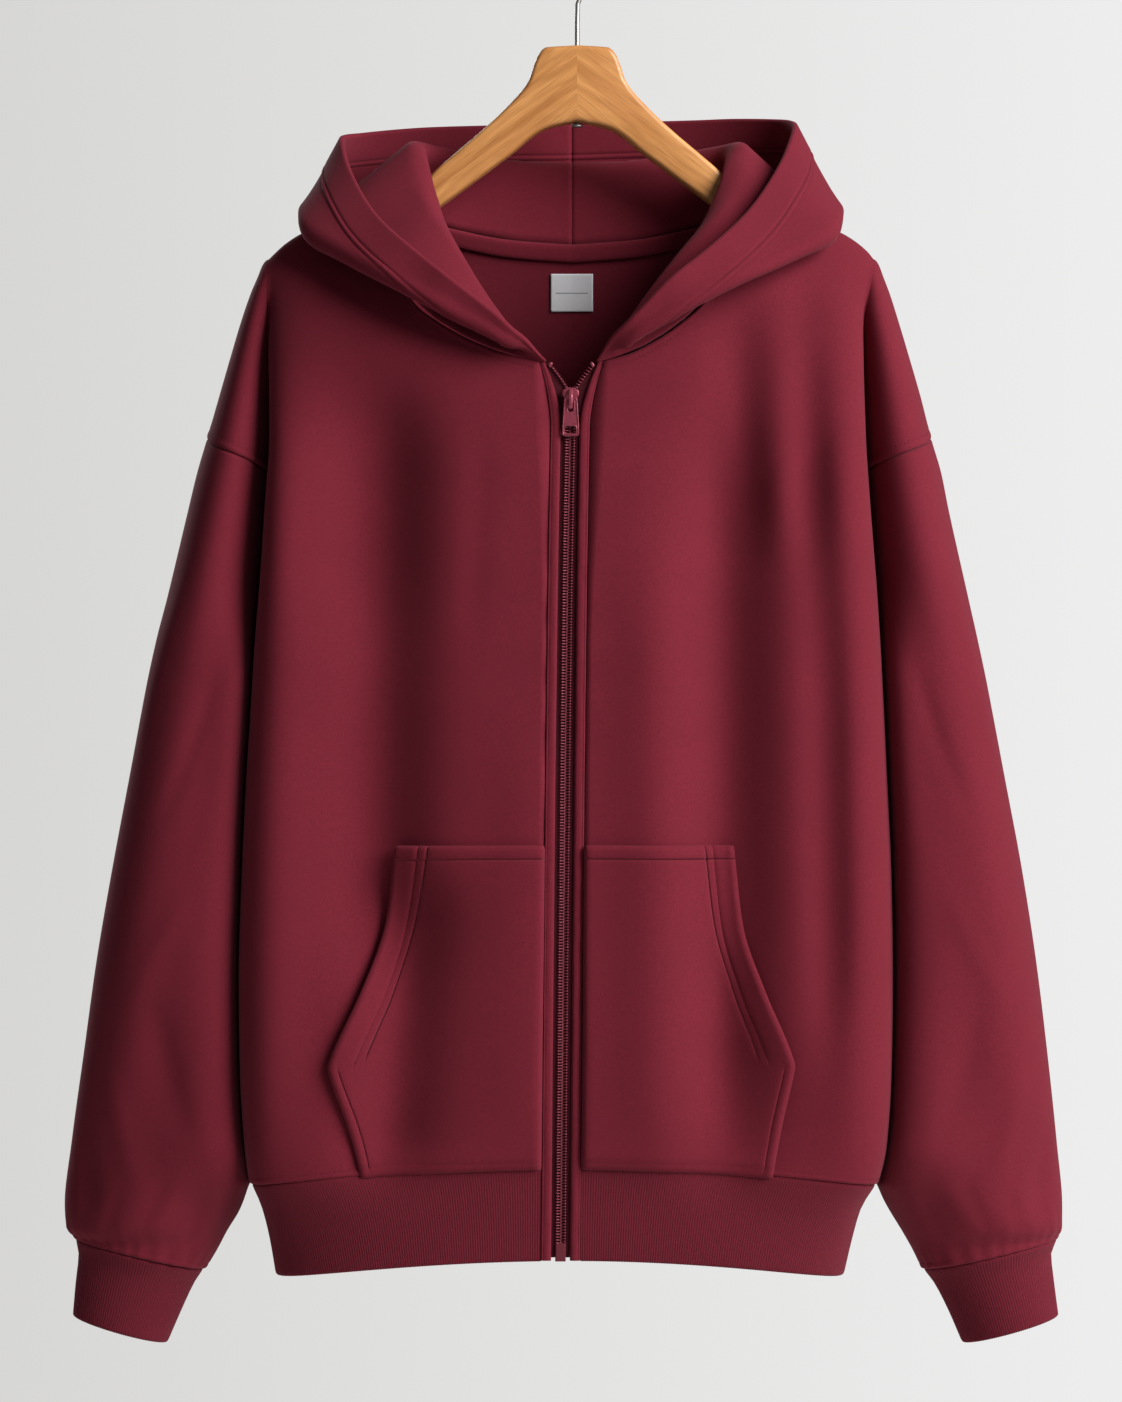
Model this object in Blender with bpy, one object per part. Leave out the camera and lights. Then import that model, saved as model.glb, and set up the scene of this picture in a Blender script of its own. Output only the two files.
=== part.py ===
"""A zip-up hooded sweatshirt of brushed fleece, hanging on a contoured wooden hanger.

Run with: blender --background --python part.py

Metres, +Z up. The origin is the top of the hook's inside, where a rail carries it; the front faces -Y.
"left" and "right" are as seen from the front, so left is -X. The tables are in millimetres.
Each panel is a wall of cloth: its outer points come from the surface functions, its inner points lie one cloth
thickness further in, and neighbouring panels stand apart by the seam gap.
"""

import math

import bmesh
import bpy
import numpy as np
from mathutils import Matrix, Vector

MM = 0.001
LEFT, RIGHT = -1, 1
NAMES = {LEFT: "left", RIGHT: "right"}

# ---------------------------------------------------------------- driving dimensions, in millimetres
CLOTH = 2.2              # brushed fleece
RIB_CLOTH = 3.3          # doubled rib knit of the hem and cuffs
HOOD_CLOTH = 2.4
SEAM_GAP = 0.36          # between panels that are sewn together
LAY_GAP = 0.35           # between a piece and the panel that it lies on

NECK_T = 0.62            # where the neckline crosses the shoulder seam, from front corner 0 to centre back 1
# The front panel's columns along the neckline.
FRONT_STOPS = (0, 0.1, 0.2, 0.3, 0.4, 0.48, 0.55, 0.595, 0.612, NECK_T)
BACK_STOPS = (1, 0.91, 0.82, 0.73, 0.67, 0.64, NECK_T)
SHOULDER_Z = -229.0      # outer end of the hanger
SEAM_FRONT_Z = -379.0    # where the armhole seam goes into the crease between sleeve and body
SEAM_TOP_Z = -353.0      # the armhole seam on top of the shoulder
HEM_SEAM_Z = -857.0      # at centre front
HEM_Z = -921.0           # at centre front
HEM_DIP = 15.0           # how much lower the hem hangs at the sides
DIP_FROM_Z = -560.0
NOTCH_CLEAR = 0.5        # between the sleeve's inner side and the body's side

ZIP_EDGE = 13.8          # from the zip's axis to the front panel's edge
FACING_EDGE = 6.4        # ... to the facing's edge beside the teeth
FACING_PROUD = 0.7       # how far the facing stands out from the panel
FACING_SPREAD = 1.4      # how much further its inner edge turns back than its outer one
CHAIN_HALF = 3.6
CHAIN_THICK = 2.8
CHAIN_OUT = -0.3         # the chain's outer side from the panel's
TAPE_OUT = -2.4
TAPE_THICK = 0.8
BEAD_HALF = 1.7          # half the width of the zip's open ends
BEAD_TOP = 15.6          # how far they are from the axis at the neck
SLIDER_TOP_Z = -325.0
ZIP_TOP_Z = -306.0
ZIP_OPEN = 8.8           # how far each front edge has turned back at the neck
ZIP_OPEN_Z = -350.0      # where they start to turn back

POCKET_TOP_Z = -638.0
POCKET_CLOTH = 2.2
POCKET_LIFT = 2.4        # how far the slanted opening stands off the panel

RIB_HEIGHT = 0.7

HUNG_LEFT = 3.5          # how far the garment's middle hangs to the left of the hook
HANGER_THICK = 18.0
HOOK_WIRE = 3.6
HOOK_RADIUS = 17.0       # inside

BURGUNDY = (0.135, 0.012, 0.026, 1.0)
RIB_BURGUNDY = (0.115, 0.010, 0.022, 1.0)
ZIP_BURGUNDY = (0.17, 0.022, 0.038, 1.0)
BEECH = (0.56, 0.27, 0.10, 1.0)
STEEL = (0.62, 0.61, 0.58, 1.0)
LABEL_WHITE = (0.72, 0.72, 0.74, 1.0)


# ---------------------------------------------------------------- tables, in millimetres
def table(columns, *rows):
    """The rows' numbers under each column's name."""
    values = np.array(rows, float)
    return {name: values[:, i] for i, name in enumerate(columns.split())}


# Body: half widths to the crease or side seam, and how boxy the section is.
BODY = table(
    "z left right box",
    (-229, 212, 211, 2.2),
    (-250, 212, 207, 2.4),
    (-271, 211, 203, 2.8),
    (-299, 211, 202, 3.3),
    (-355, 211, 203, 4.2),
    (-404, 214, 206, 4.6),
    (-467, 218, 211, 4.8),
    (-530, 222, 215, 4.8),
    (-593, 226, 218, 4.8),
    (-656, 229, 221, 4.8),
    (-719, 231, 222, 4.8),
    (-782, 230, 221, 4.8),
    (-830, 227, 218, 4.6),
    (-852, 224.5, 213.5, 4.2),
    (-860, 221, 209, 4.0),
    (-874, 215.6, 201, 3.8),
    (-895, 210.7, 195.3, 3.6),
    (-921, 206.5, 189.5, 3.6),
)

# How far the cloth stands forward and back at a given drop below the shoulder line.
DRAPE = table(
    "drop front back",
    (0, 0, 0),
    (1, 9.5, 9),
    (3, 14.5, 13.5),
    (6, 18, 16.5),
    (10, 21.5, 19.5),
    (20, 28, 25),
    (40, 38, 32),
    (70, 50, 40),
    (110, 60, 47),
    (160, 67, 52),
    (240, 73, 56),
    (360, 76, 58),
    (560, 75, 58),
    (640, 71, 56),
    (668, 69, 55),
    (690, 67, 53),
    (740, 66, 52),
)

# The shoulder line over the hanger's arms.
SHOULDER = table(
    "x z",
    (0, -178),
    (122, -191),
    (155, -199),
    (187, -210),
    (200, -218),
    (212, -229),
)

# The neckline, from the front corner over the shoulder seam to centre back.
NECKLINE = table(
    "t left right z",
    (0.00, 23.1, 22.1, -304.5),
    (0.12, 43, 38, -300),
    (0.25, 67, 56, -291),
    (0.38, 92, 76, -277),
    (0.48, 111, 93, -260),
    (0.55, 117.5, 104, -232),
    (0.595, 122.5, 113, -207),
    (0.612, 126.5, 119.5, -196),
    (0.62, 130, 125, -191.9),
    (0.64, 126.5, 122.5, -193.1),
    (0.67, 120, 117, -195.4),
    (0.72, 107, 105, -199.5),
    (0.82, 80, 80, -207),
    (0.91, 42, 42, -214),
    (1.00, 0, 0, -217),
)

# Sleeve: outer edges, the angle at which front and back reach the crease, and depths.
ARM = table(
    "z left right notch front back",
    (-229, 212.5, 211.5, 120, 1, 1),
    (-230.5, 214.5, 213, 115, 9, 8.5),
    (-234, 216.8, 215, 105, 14, 13),
    (-241, 219.5, 217.5, 90, 19, 17.5),
    (-253, 224.5, 222, 68, 24.5, 22.5),
    (-272, 231, 228, 45, 30.5, 28),
    (-299, 239, 236, 26, 36, 34),
    (-327, 247, 244, 18, 42, 40),
    (-355, 255, 251, 13, 47, 45),
    (-379, 262, 258, 9, 50, 48),
    (-404, 268, 263, 7, 53, 52),
    (-467, 283, 277, 2, 58, 58),
    (-495, 290, 283, 0, 60, 60),
    (-593, 309, 302, 0, 62, 63),
    (-656, 321, 314, 0, 61, 63),
    (-719, 332, 324, 0, 59, 61),
    (-782, 341, 332, 0, 56, 58),
    (-845, 350, 339, 0, 52, 54),
    (-887, 355, 343, 0, 46, 48),
    (-905, 354, 343, 0, 41, 42),
    (-914, 347, 339, 0, 35, 36),
    (-936, 344, 335, 0, 32, 33),
)

# The sleeve's inner edge where it has left the body; above that it lies against the body's side.
ARM_INNER = table(
    "z left right",
    (-495, 200, 200),
    (-860, 218, 206),
    (-877, 226, 213.5),
    (-887, 229.5, 218),
    (-895, 233, 222.5),
    (-908, 241, 230.5),
    (-922, 248.5, 238.5),
    (-936, 258, 246),
)

# The sleeve's end and the cuff's: outer and inner edge, and half depth.
CUFF = table(
    "v outer_left outer_right inner_left inner_right outer_z inner_z depth",
    (0.00, 347, 339, 258, 246, -914, -935, 33),
    (0.18, 345, 335, 264, 253, -924, -944, 28),
    (0.55, 347, 337, 273, 263, -944, -963, 26),
    (1.00, 349, 340, 283, 273, -967, -986, 25),
)

# The zip's axis leans a little.
ZIP_AXIS = table("z x", (-300, -0.5), (-470, -3.6), (-920, -8.1))

# The pocket's outer edge: down the slanted opening, then in along the side to the hem.
POCKET = table(
    "z left right",
    (-638, 119, 110),
    (-690, 128, 117),
    (-735, 145, 133),
    (-778, 165, 150.5),
    (-781.5, 166, 151.3),
    (-785, 165.3, 150.7),
    (-820, 154, 143),
    (-856, 144, 136),
)

# Soft folds of the body: where each starts and ends, its width, and how far it stands out (+) or lies in (-).
FRONT_FOLDS = table(
    "x_top z_top x_low z_low width out",
    (-131, -290, -133, -720, 33, -18),
    (-106, -640, -126, -860, 30, -15),
    (-204, -300, -212, -840, 24, 6),
    (-30, -520, -34, -840, 26, 3),
    (60, -400, 62, -850, 26, 5),
    (103, -300, 105, -850, 32, -20),
    (164, -280, 176, -780, 15, -5),
    (190, -300, 194, -850, 26, 7),
)
BACK_FOLDS = table(
    "x_top z_top x_low z_low width out",
    (-120, -330, -150, -840, 34, -8),
    (-40, -420, -30, -850, 36, 5),
    (60, -400, 85, -850, 34, -7),
    (150, -340, 165, -830, 28, 6),
)
# Between these levels a sleeve hangs free, flattened in front and behind and turned outward.
HANG_FROM_Z, HANG_TO_Z = -470.0, -905.0
HANG_FLAT, HANG_TURN = 0.55, 0.26

# Soft folds of a sleeve: angle round it from the inner side, level, size and depth. The front is at 90.
SLEEVE_FOLDS = table(
    "angle z wide high out",
    (70, -560, 26, 90, -4),
    (120, -700, 28, 110, 4),
    (85, -800, 22, 60, -4),
    (140, -890, 12, 26, -5),
    (60, -895, 12, 24, -4),
    (250, -640, 30, 100, -4),
    (290, -840, 26, 60, -4),
)

# The hood's guide lines, from the front corner t 0 to centre back t 1. The cloth rises from the neckline to the
# crest, rolls over and falls to the fold, and rises again to the rim.
CREST = table(
    "t left right y z radius",
    (0.00, 22.6, 21.6, -62.5, -302.0, 2.0),
    (0.12, 40, 34, -57, -286, 3.0),
    (0.25, 58, 50, -50, -264, 4.5),
    (0.38, 76, 72, -43, -233, 6.5),
    (0.48, 89, 92, -33, -206, 8.0),
    (0.56, 98, 105, -20, -180, 8.0),
    (0.60, 103, 110, -8, -160, 7.5),
    (0.64, 105, 112, 8, -149, 8.0),
    (0.68, 99, 107, 22, -148, 9.0),
    (0.74, 80, 86, 34, -150, 10.0),
    (0.82, 52, 56, 42, -154, 10.0),
    (0.91, 24, 25, 46, -156, 10.0),
    (1.00, 0, 0, 47, -156, 10.0),
)
FOLD = table(
    "t left right y z radius",
    (0.00, 22.2, 21.2, -64.5, -299.5, 2.0),
    (0.12, 38, 33, -73, -297, 3.0),
    (0.25, 56, 46, -80, -288, 4.0),
    (0.38, 90, 76, -82, -272, 5.5),
    (0.48, 124, 111, -76, -254, 6.5),
    (0.55, 158, 152, -58, -235, 7.5),
    (0.60, 186, 184, -36, -216, 8.0),
    (0.62, 188, 186, -18, -204.0, 7.0),
    (0.64, 188.5, 187, -4, -200.5, 7.0),
    (0.67, 187, 186, 16, -200.0, 7.5),
    (0.72, 182, 180, 42, -228, 10.0),
    (0.82, 148, 146, 72, -294, 15.0),
    (0.91, 84, 83, 81, -350, 17.0),
    (1.00, 0, 0, 83, -368, 17.0),
)
RIM = table(
    "t left right y z_left z_right",
    (0.00, 21.8, 20.8, -67, -296.5, -296.5),
    (0.12, 36, 29, -76, -289, -289),
    (0.25, 53, 44, -84, -275, -275),
    (0.38, 82, 66, -86, -253, -253),
    (0.48, 109, 93, -76, -231, -231),
    (0.56, 138, 124, -52, -202, -200),
    (0.62, 158, 150, -12, -162, -156),
    (0.67, 162, 157, 14, -143, -134),
    (0.72, 149, 149, 38, -137.5, -128),
    (0.82, 100, 104, 66, -129.5, -124),
    (0.91, 48, 52, 78, -126.5, -124),
    (1.00, 0, 0, 82, -125, -125),
)

# The hanger's outline from its middle to its end.
HANGER_TOP = table(
    "x z",
    (0, -80),
    (22, -81.5),
    (28, -88),
    (34, -105),
    (48, -122),
    (67, -140),
    (87, -157),
    (99, -167.5),
    (107, -177),
    (112, -188),
    (117, -196),
    (125, -197.6),
    (155, -204.4),
    (187, -217.6),
    (196, -226),
)
HANGER_BOTTOM = table(
    "x z",
    (0, -133),
    (22, -138),
    (48, -157),
    (72, -175),
    (95, -192),
    (122, -212),
    (155, -222),
    (187, -237),
    (196, -240),
)


# ---------------------------------------------------------------- curves through the tables
def smooth(rows, column, place, along="z"):
    """The column's value at each place, on a smooth curve through the rows that never overshoots them."""
    x, y = rows[along], rows[column]
    if x[0] > x[-1]:
        x, y = x[::-1], y[::-1]
    step = np.diff(x)
    rise = np.diff(y) / step
    slope = np.concatenate([rise[:1], np.zeros(len(y) - 2), rise[-1:]])
    same = rise[:-1] * rise[1:] > 0
    before, after = rise[:-1][same], rise[1:][same]
    slope[1:-1][same] = 2 * before * after / (before + after)
    place = np.clip(np.asarray(place, float), x[0], x[-1])
    i = np.clip(np.searchsorted(x, place) - 1, 0, len(step) - 1)
    s = (place - x[i]) / step[i]
    start = (1 + 2 * s) * (1 - s) ** 2 * y[i] + s * (1 - s) ** 2 * step[i] * slope[i]
    end = s * s * (3 - 2 * s) * y[i + 1] - s * s * (1 - s) * step[i] * slope[i + 1]
    return start + end


def ease(value):
    """0 to 1, with soft ends."""
    value = np.clip(value, 0, 1)
    return value * value * (3 - 2 * value)


def half(rows, side, place, along="z"):
    """The left or right column, as a distance from the middle."""
    return smooth(rows, NAMES[side], place, along)


# ---------------------------------------------------------------- surfaces of body and sleeve
def depth_at(face, x, z):
    """How far the front (-1) or back (1) stands out below the shoulder line at x."""
    drop = smooth(SHOULDER, "z", np.abs(x), "x") - z
    return smooth(DRAPE, "front" if face < 0 else "back", drop, "drop")


def arm_depth(face, z):
    return smooth(ARM, "front" if face < 0 else "back", z)


def notch_angle(z):
    """The angle round the sleeve at which its front or back meets the body's crease."""
    return np.radians(smooth(ARM, "notch", z))


def crease_y(face, z):
    return arm_depth(face, z) * np.sin(notch_angle(z))


def body_section(side, face, z):
    """Half width and boxiness of the body's section, which passes through the crease."""
    crease = half(BODY, side, z)
    box = smooth(BODY, "box", z)
    lateral = np.clip(crease_y(face, z) / np.maximum(depth_at(face, crease, z), 1e-6), 0, 0.97)
    return crease / (1 - lateral**box) ** (1 / box), box


def folds_at(rows, x, z):
    """The soft folds' sum at a point of the front or back."""
    total = np.zeros(np.broadcast(x, z).shape)
    for i in range(len(rows["out"])):
        along = (rows["z_top"][i] - z) / (rows["z_top"][i] - rows["z_low"][i])
        centre = rows["x_top"][i] + (rows["x_low"][i] - rows["x_top"][i]) * along
        reach = ease(along * 4) * ease((1 - along) * 4 + 0.4)
        total = total + rows["out"][i] * np.exp(-(((x - centre) / rows["width"][i]) ** 2)) * reach
    return total


def body_y(side, face, across, z):
    """Y of the front or back at a distance across from the middle."""
    width, box = body_section(side, face, z)
    share = np.clip(across / width, 0, 1)
    lateral = (1 - share**box) ** (1 / box)
    folds = folds_at(FRONT_FOLDS if face < 0 else BACK_FOLDS, side * across, z)
    fade = ease(lateral * 1.6) * ease(depth_at(face, across, z) / 45)
    return face * (depth_at(face, across, z) * lateral + folds * fade)


def front_point(x, z):
    """A point of the front at x and z."""
    x, z = np.broadcast_arrays(np.asarray(x, float), np.asarray(z, float))
    y = np.where(x < 0, body_y(LEFT, -1, np.abs(x), z), body_y(RIGHT, -1, np.abs(x), z))
    return np.stack([x, y, z], -1)


def front_normal(x, z):
    """The front's outward normal."""
    step = 2.0
    along_x = front_point(x + step, z) - front_point(x - step, z)
    along_z = front_point(x, z + step) - front_point(x, z - step)
    normal = np.cross(along_x, along_z)
    return normal / np.linalg.norm(normal, axis=-1, keepdims=True)


def zip_x(z):
    return smooth(ZIP_AXIS, "x", z)


def zip_opening(z):
    """How far each front edge has turned back from the zip's axis."""
    return ZIP_OPEN * np.clip((z - ZIP_OPEN_Z) / (NECKLINE["z"][0] - ZIP_OPEN_Z), 0, 1) ** 1.7


def zip_edge(side, z, from_axis=ZIP_EDGE):
    return zip_x(z) + side * (from_axis + zip_opening(z))


def dipped(z, across, width):
    """Z after the hem's dip towards the sides."""
    return z - HEM_DIP * (across / width) ** 2 * ease((DIP_FROM_Z - z) / (DIP_FROM_Z - HEM_SEAM_Z))


def column_angle(across, width, box):
    """The section's angle at a distance across, 0 in the middle and a quarter turn at the side."""
    share = np.clip(across / width, 0, 1 - 1e-9)
    return np.arctan(share / (1 - share**box) ** (1 / box))


def across_at(angle, width, box):
    return width * np.sin(angle) / (np.sin(angle) ** box + np.abs(np.cos(angle)) ** box) ** (1 / box)


def neck_x(side, t):
    return half(NECKLINE, side, t, "t")


def top_of_columns(side, face, columns_ridge):
    """(distance across, z) of the top of each of the panel's columns, along the neckline and the shoulder."""
    t = np.array(FRONT_STOPS if face < 0 else BACK_STOPS, float)
    neck = np.stack([neck_x(side, t), smooth(NECKLINE, "z", t, "t")], 1)
    share = np.linspace(0, 1, columns_ridge + 1)[1:]
    x = neck[-1, 0] + (half(BODY, side, SHOULDER_Z) - neck[-1, 0]) * share
    z = smooth(SHOULDER, "z", x, "x")
    z[-1] = SHOULDER_Z
    return np.concatenate([neck, np.stack([x, z], 1)])


def body_grid(side, face, columns_ridge, side_levels, bottom_z=HEM_SEAM_Z):
    """Points of half the front or back: rows from top to hem seam, columns from the middle to the side."""
    tops = top_of_columns(side, face, columns_ridge)
    levels = (side_levels - SHOULDER_Z) / (bottom_z - SHOULDER_Z)
    z = tops[None, :, 1] + (bottom_z - tops[None, :, 1]) * levels[:, None]
    width, box = body_section(side, face, z)
    if face < 0:
        inner = side * zip_edge(side, z)
    else:
        inner = np.zeros_like(z)
    inner_angle = column_angle(np.maximum(inner, 0), width, box)
    crease_angle = column_angle(half(BODY, side, z), width, box)
    even = np.linspace(0, 1, len(tops))[None, :]
    low_angle = inner_angle + (crease_angle - inner_angle) * even
    top_angle = column_angle(np.minimum(tops[None, :, 0], half(BODY, side, z)), width, box)
    top_angle[:, -1] = crease_angle[:, -1]
    if face < 0:
        top_angle[:, 0] = inner_angle[:, 0]
    follow = ease((tops[None, :, 1] - z) / 190.0)
    angle = top_angle + (low_angle - top_angle) * follow
    across = across_at(angle, width, box)
    across[:, -1] = half(BODY, side, z)[:, -1]
    y = body_y(side, face, across, z)
    y[:, -1] = face * crease_y(face, z[:, -1])
    y[0, -1 - columns_ridge :] = 0.0
    return np.stack([side * across, y, dipped(z, across, width)], -1)


def arm_section(side, z, clear=0.0):
    """Outer edge, and half width of the sleeve's oval, whose ends meet the crease at the notch angle."""
    nominal = z + HEM_DIP * ease((DIP_FROM_Z - z) / (DIP_FROM_Z - HEM_SEAM_Z + HEM_DIP))
    beside = half(BODY, side, np.maximum(nominal, HEM_SEAM_Z)) + clear
    inner = np.maximum(beside, half(ARM_INNER, side, z))
    outer = half(ARM, side, z)
    return outer, (outer - inner) / (1 + np.cos(notch_angle(z)))


def arm_point(side, angle, z, clear=0.0, puff=0.0):
    """A point of the sleeve, at an angle from its inner side, with its front a quarter turn on."""
    outer, width = arm_section(side, z, clear)
    depth = np.where(np.sin(angle) >= 0, arm_depth(-1, z), arm_depth(1, z)) + puff
    across = outer - width * (1 + np.cos(angle))
    hang = ease((HANG_FROM_Z - z) / 130) * ease((z - HANG_TO_Z) / 60)
    bulge = np.sign(np.sin(angle)) * np.abs(np.sin(angle)) ** (1 - HANG_FLAT * hang)
    y = -depth * bulge - HANG_TURN * hang * width * np.cos(angle)
    return np.stack([side * across, y, z + 0 * angle], -1)


def sleeve_puff(angle, z):
    """The sleeve's soft folds."""
    degrees = np.degrees(angle) % 360
    total = 0.0
    for i in range(len(SLEEVE_FOLDS["out"])):
        turn = (degrees - SLEEVE_FOLDS["angle"][i] + 180) % 360 - 180
        rise = (z - SLEEVE_FOLDS["z"][i]) / SLEEVE_FOLDS["high"][i]
        total = total + SLEEVE_FOLDS["out"][i] * np.exp(-((turn / SLEEVE_FOLDS["wide"][i]) ** 2) - rise**2)
    return total


def cap_grid(side, face, cap_levels, columns):
    """Points of the dropped shoulder outside the crease: rows from the hanger's end to the armhole seam."""
    share = np.linspace(0, 1, columns + 1)[None, :]
    low = SEAM_FRONT_Z + (SEAM_TOP_Z - SEAM_FRONT_Z) * share
    level = (cap_levels[:, None] - SHOULDER_Z) / (SEAM_FRONT_Z - SHOULDER_Z)
    z = SHOULDER_Z + (low - SHOULDER_Z) * level
    angle = notch_angle(z) + (math.pi - notch_angle(z)) * share
    points = arm_point(side, -face * angle, z)
    points[:, -1, 1] = 0.0
    points[0] = [side * half(BODY, side, SHOULDER_Z), 0.0, SHOULDER_Z]
    return points


def sleeve_grid(side, columns, notch_levels, rows):
    """Points of the sleeve: rows from the armhole seam to the cuff seam, columns all round from the armpit."""
    share = np.linspace(0, 1, columns + 1)
    top_z = np.concatenate([notch_levels[::-1], SEAM_FRONT_Z + (SEAM_TOP_Z - SEAM_FRONT_Z) * share[1:]])
    notch = notch_angle(notch_levels[::-1])
    start = notch_angle(top_z[len(notch) :])
    front = np.concatenate([notch, start + (math.pi - start) * share[1:]])
    angle = np.concatenate([front, 2 * math.pi - front[-2::-1]])
    top_z = np.concatenate([top_z, top_z[-2::-1]])
    even = np.linspace(0, 2 * math.pi, len(angle))
    v = rows[:, None]
    turn = angle[None, :] + (even - angle)[None, :] * (1 - (1 - v) ** 3)
    across = (1 + np.cos(turn)) / 2
    low_z = CUFF["outer_z"][0] + (CUFF["inner_z"][0] - CUFF["outer_z"][0]) * across
    z = top_z[None, :] + (low_z - top_z[None, :]) * v
    puff = sleeve_puff(turn, z) * ease(v * 8) * ease((1 - v) * 12)
    return arm_point(side, turn, z, NOTCH_CLEAR, puff)


def cuff_point(side, angle, v, out=0.0):
    """A point of the cuff, which carries on from the sleeve's end."""
    name = NAMES[side]
    outer, inner = smooth(CUFF, f"outer_{name}", v, "v"), smooth(CUFF, f"inner_{name}", v, "v")
    outer_z, inner_z = smooth(CUFF, "outer_z", v, "v"), smooth(CUFF, "inner_z", v, "v")
    depth = smooth(CUFF, "depth", v, "v")
    long_axis = np.stack([side * (inner - outer) / 2, 0 * v, (inner_z - outer_z) / 2], -1)
    reach = 1 + out / np.linalg.norm(long_axis, axis=-1)
    middle = np.stack([side * (outer + inner) / 2, 0 * v, (outer_z + inner_z) / 2], -1)
    point = middle + long_axis * (np.cos(angle) * reach)[..., None]
    point[..., 1] = -(depth + out) * np.sin(angle)
    return point


# ---------------------------------------------------------------- the hood
def guide(rows, side, t, height="z"):
    across = side * half(rows, side, t, "t")
    return np.stack([across, smooth(rows, "y", t, "t"), smooth(rows, height, t, "t")], -1)


def neck_point(side, t):
    """A point of the neckline, on the front or back panel."""
    across, z = neck_x(side, t), smooth(NECKLINE, "z", t, "t")
    front, back = body_y(side, -1, across, z), body_y(side, 1, across, z)
    at_seam = np.abs(t - NECK_T) < 1e-6
    return np.stack([side * across, np.where(at_seam, 0, np.where(t < NECK_T, front, back)), z], -1)


def panel_normal(side, t):
    """The panel's outward normal at the neckline."""
    t = np.asarray(t, float)
    across, z = neck_x(side, t), smooth(NECKLINE, "z", t, "t")
    face = np.where(t < NECK_T, -1, 1)

    def surface(across, z):
        y = np.where(t < NECK_T, body_y(side, -1, across, z), body_y(side, 1, across, z))
        return np.stack([side * across, y, z], -1)

    sideways = surface(across + 2, z) - surface(across, z)
    normal = np.cross(sideways, surface(across, z - 2) - surface(across, z - 4))
    normal = unit(normal)
    normal = normal * np.sign(normal[..., 1] * face)[..., None]
    ridge = ease(1 - np.abs(t - NECK_T) / 0.04)[..., None]
    return unit(normal * (1 - ridge) + np.array([0.0, 0.0, 1.0]) * ridge)


def neck_line(side, t):
    """The neckline as the panels have it: straight between their columns."""
    stops = np.array(FRONT_STOPS + BACK_STOPS[-2::-1], float)
    points = neck_point(side, stops)
    return np.stack([np.interp(t, stops, points[:, i]) for i in range(3)], -1)


def unit(vector):
    return vector / np.maximum(np.linalg.norm(vector, axis=-1, keepdims=True), 1e-9)


def rolled(before, apex, after, radius, count):
    """Points round a fold of that radius, whose outermost point is apex."""
    out = unit(apex - (before + after) / 2)
    toward = after - apex
    across = unit(toward - np.sum(toward * out, -1, keepdims=True) * out)
    centre = apex - radius[:, None] * out
    turns = np.radians(np.linspace(-95, 95, count))
    ring = [out * math.cos(a) + across * math.sin(a) for a in turns]
    return [centre + radius[:, None] * point for point in ring]


def hood_grid(side, t, legs=(2, 3, 3), roll=4):
    """Points of half the hood: rows along t, columns from the neckline over crest and fold to the rim."""
    crest, fold, rim = guide(CREST, side, t), guide(FOLD, side, t), guide(RIM, side, t, f"z_{NAMES[side]}")
    neck = neck_line(side, t)
    up = unit(crest - neck)
    inside = unit(-neck * [1, 1, 0])
    steep = np.abs(np.sum(up * panel_normal(side, t), -1, keepdims=True))
    seam = neck + up * (0.35 + 1.5 * steep) + inside * CLOTH / 2
    first = rolled(seam, crest, fold, smooth(CREST, "radius", t, "t"), roll + 1)
    second = rolled(crest, fold, rim, smooth(FOLD, "radius", t, "t"), roll + 1)
    columns = []
    straights = ((seam, first[0], legs[0]), (first[-1], second[0], legs[1]), (second[-1], rim, legs[2]))
    for start, end, count in straights:
        shares = [i / count for i in range(count)]
        columns += [start + (end - start) * share for share in shares]
        if end is not rim:
            columns += (first if end is first[0] else second)[:-1]
            columns[-roll] = (first if end is first[0] else second)[0]
    columns.append(rim)
    folded = np.stack(columns, 1)
    lengths = np.linalg.norm(np.diff(folded, axis=1), axis=-1)
    along = np.concatenate([np.zeros((len(t), 1)), np.cumsum(lengths, 1)], 1) / lengths.sum(1, keepdims=True)
    plain = seam[:, None] + (rim - seam)[:, None] * along[..., None]
    return plain + (folded - plain) * ease((t - 0.02) / 0.16)[:, None, None]


# ---------------------------------------------------------------- meshes
def new_object(name, points, faces, material):
    """A mesh object from points in millimetres."""
    mesh = bpy.data.meshes.new(name)
    mesh.from_pydata([tuple(float(c) * MM for c in p) for p in points], [], faces)
    mesh.validate()
    obj = bpy.data.objects.new(name, mesh)
    HOODIE.objects.link(obj)
    finish(obj, material)
    return obj


def finish(obj, material):
    obj.data.materials.append(material)
    obj.data.shade_smooth()
    obj.data.set_sharp_from_angle(angle=math.radians(50))


def quads_of(rows, columns, closed=False, flip=False):
    """Faces of a grid of points, rows by columns."""
    faces = []
    for i in range(rows - 1):
        for j in range(columns if closed else columns - 1):
            k = (j + 1) % columns
            face = (i * columns + j, i * columns + k, (i + 1) * columns + k, (i + 1) * columns + j)
            faces.append(face[::-1] if flip else face)
    return faces


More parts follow.
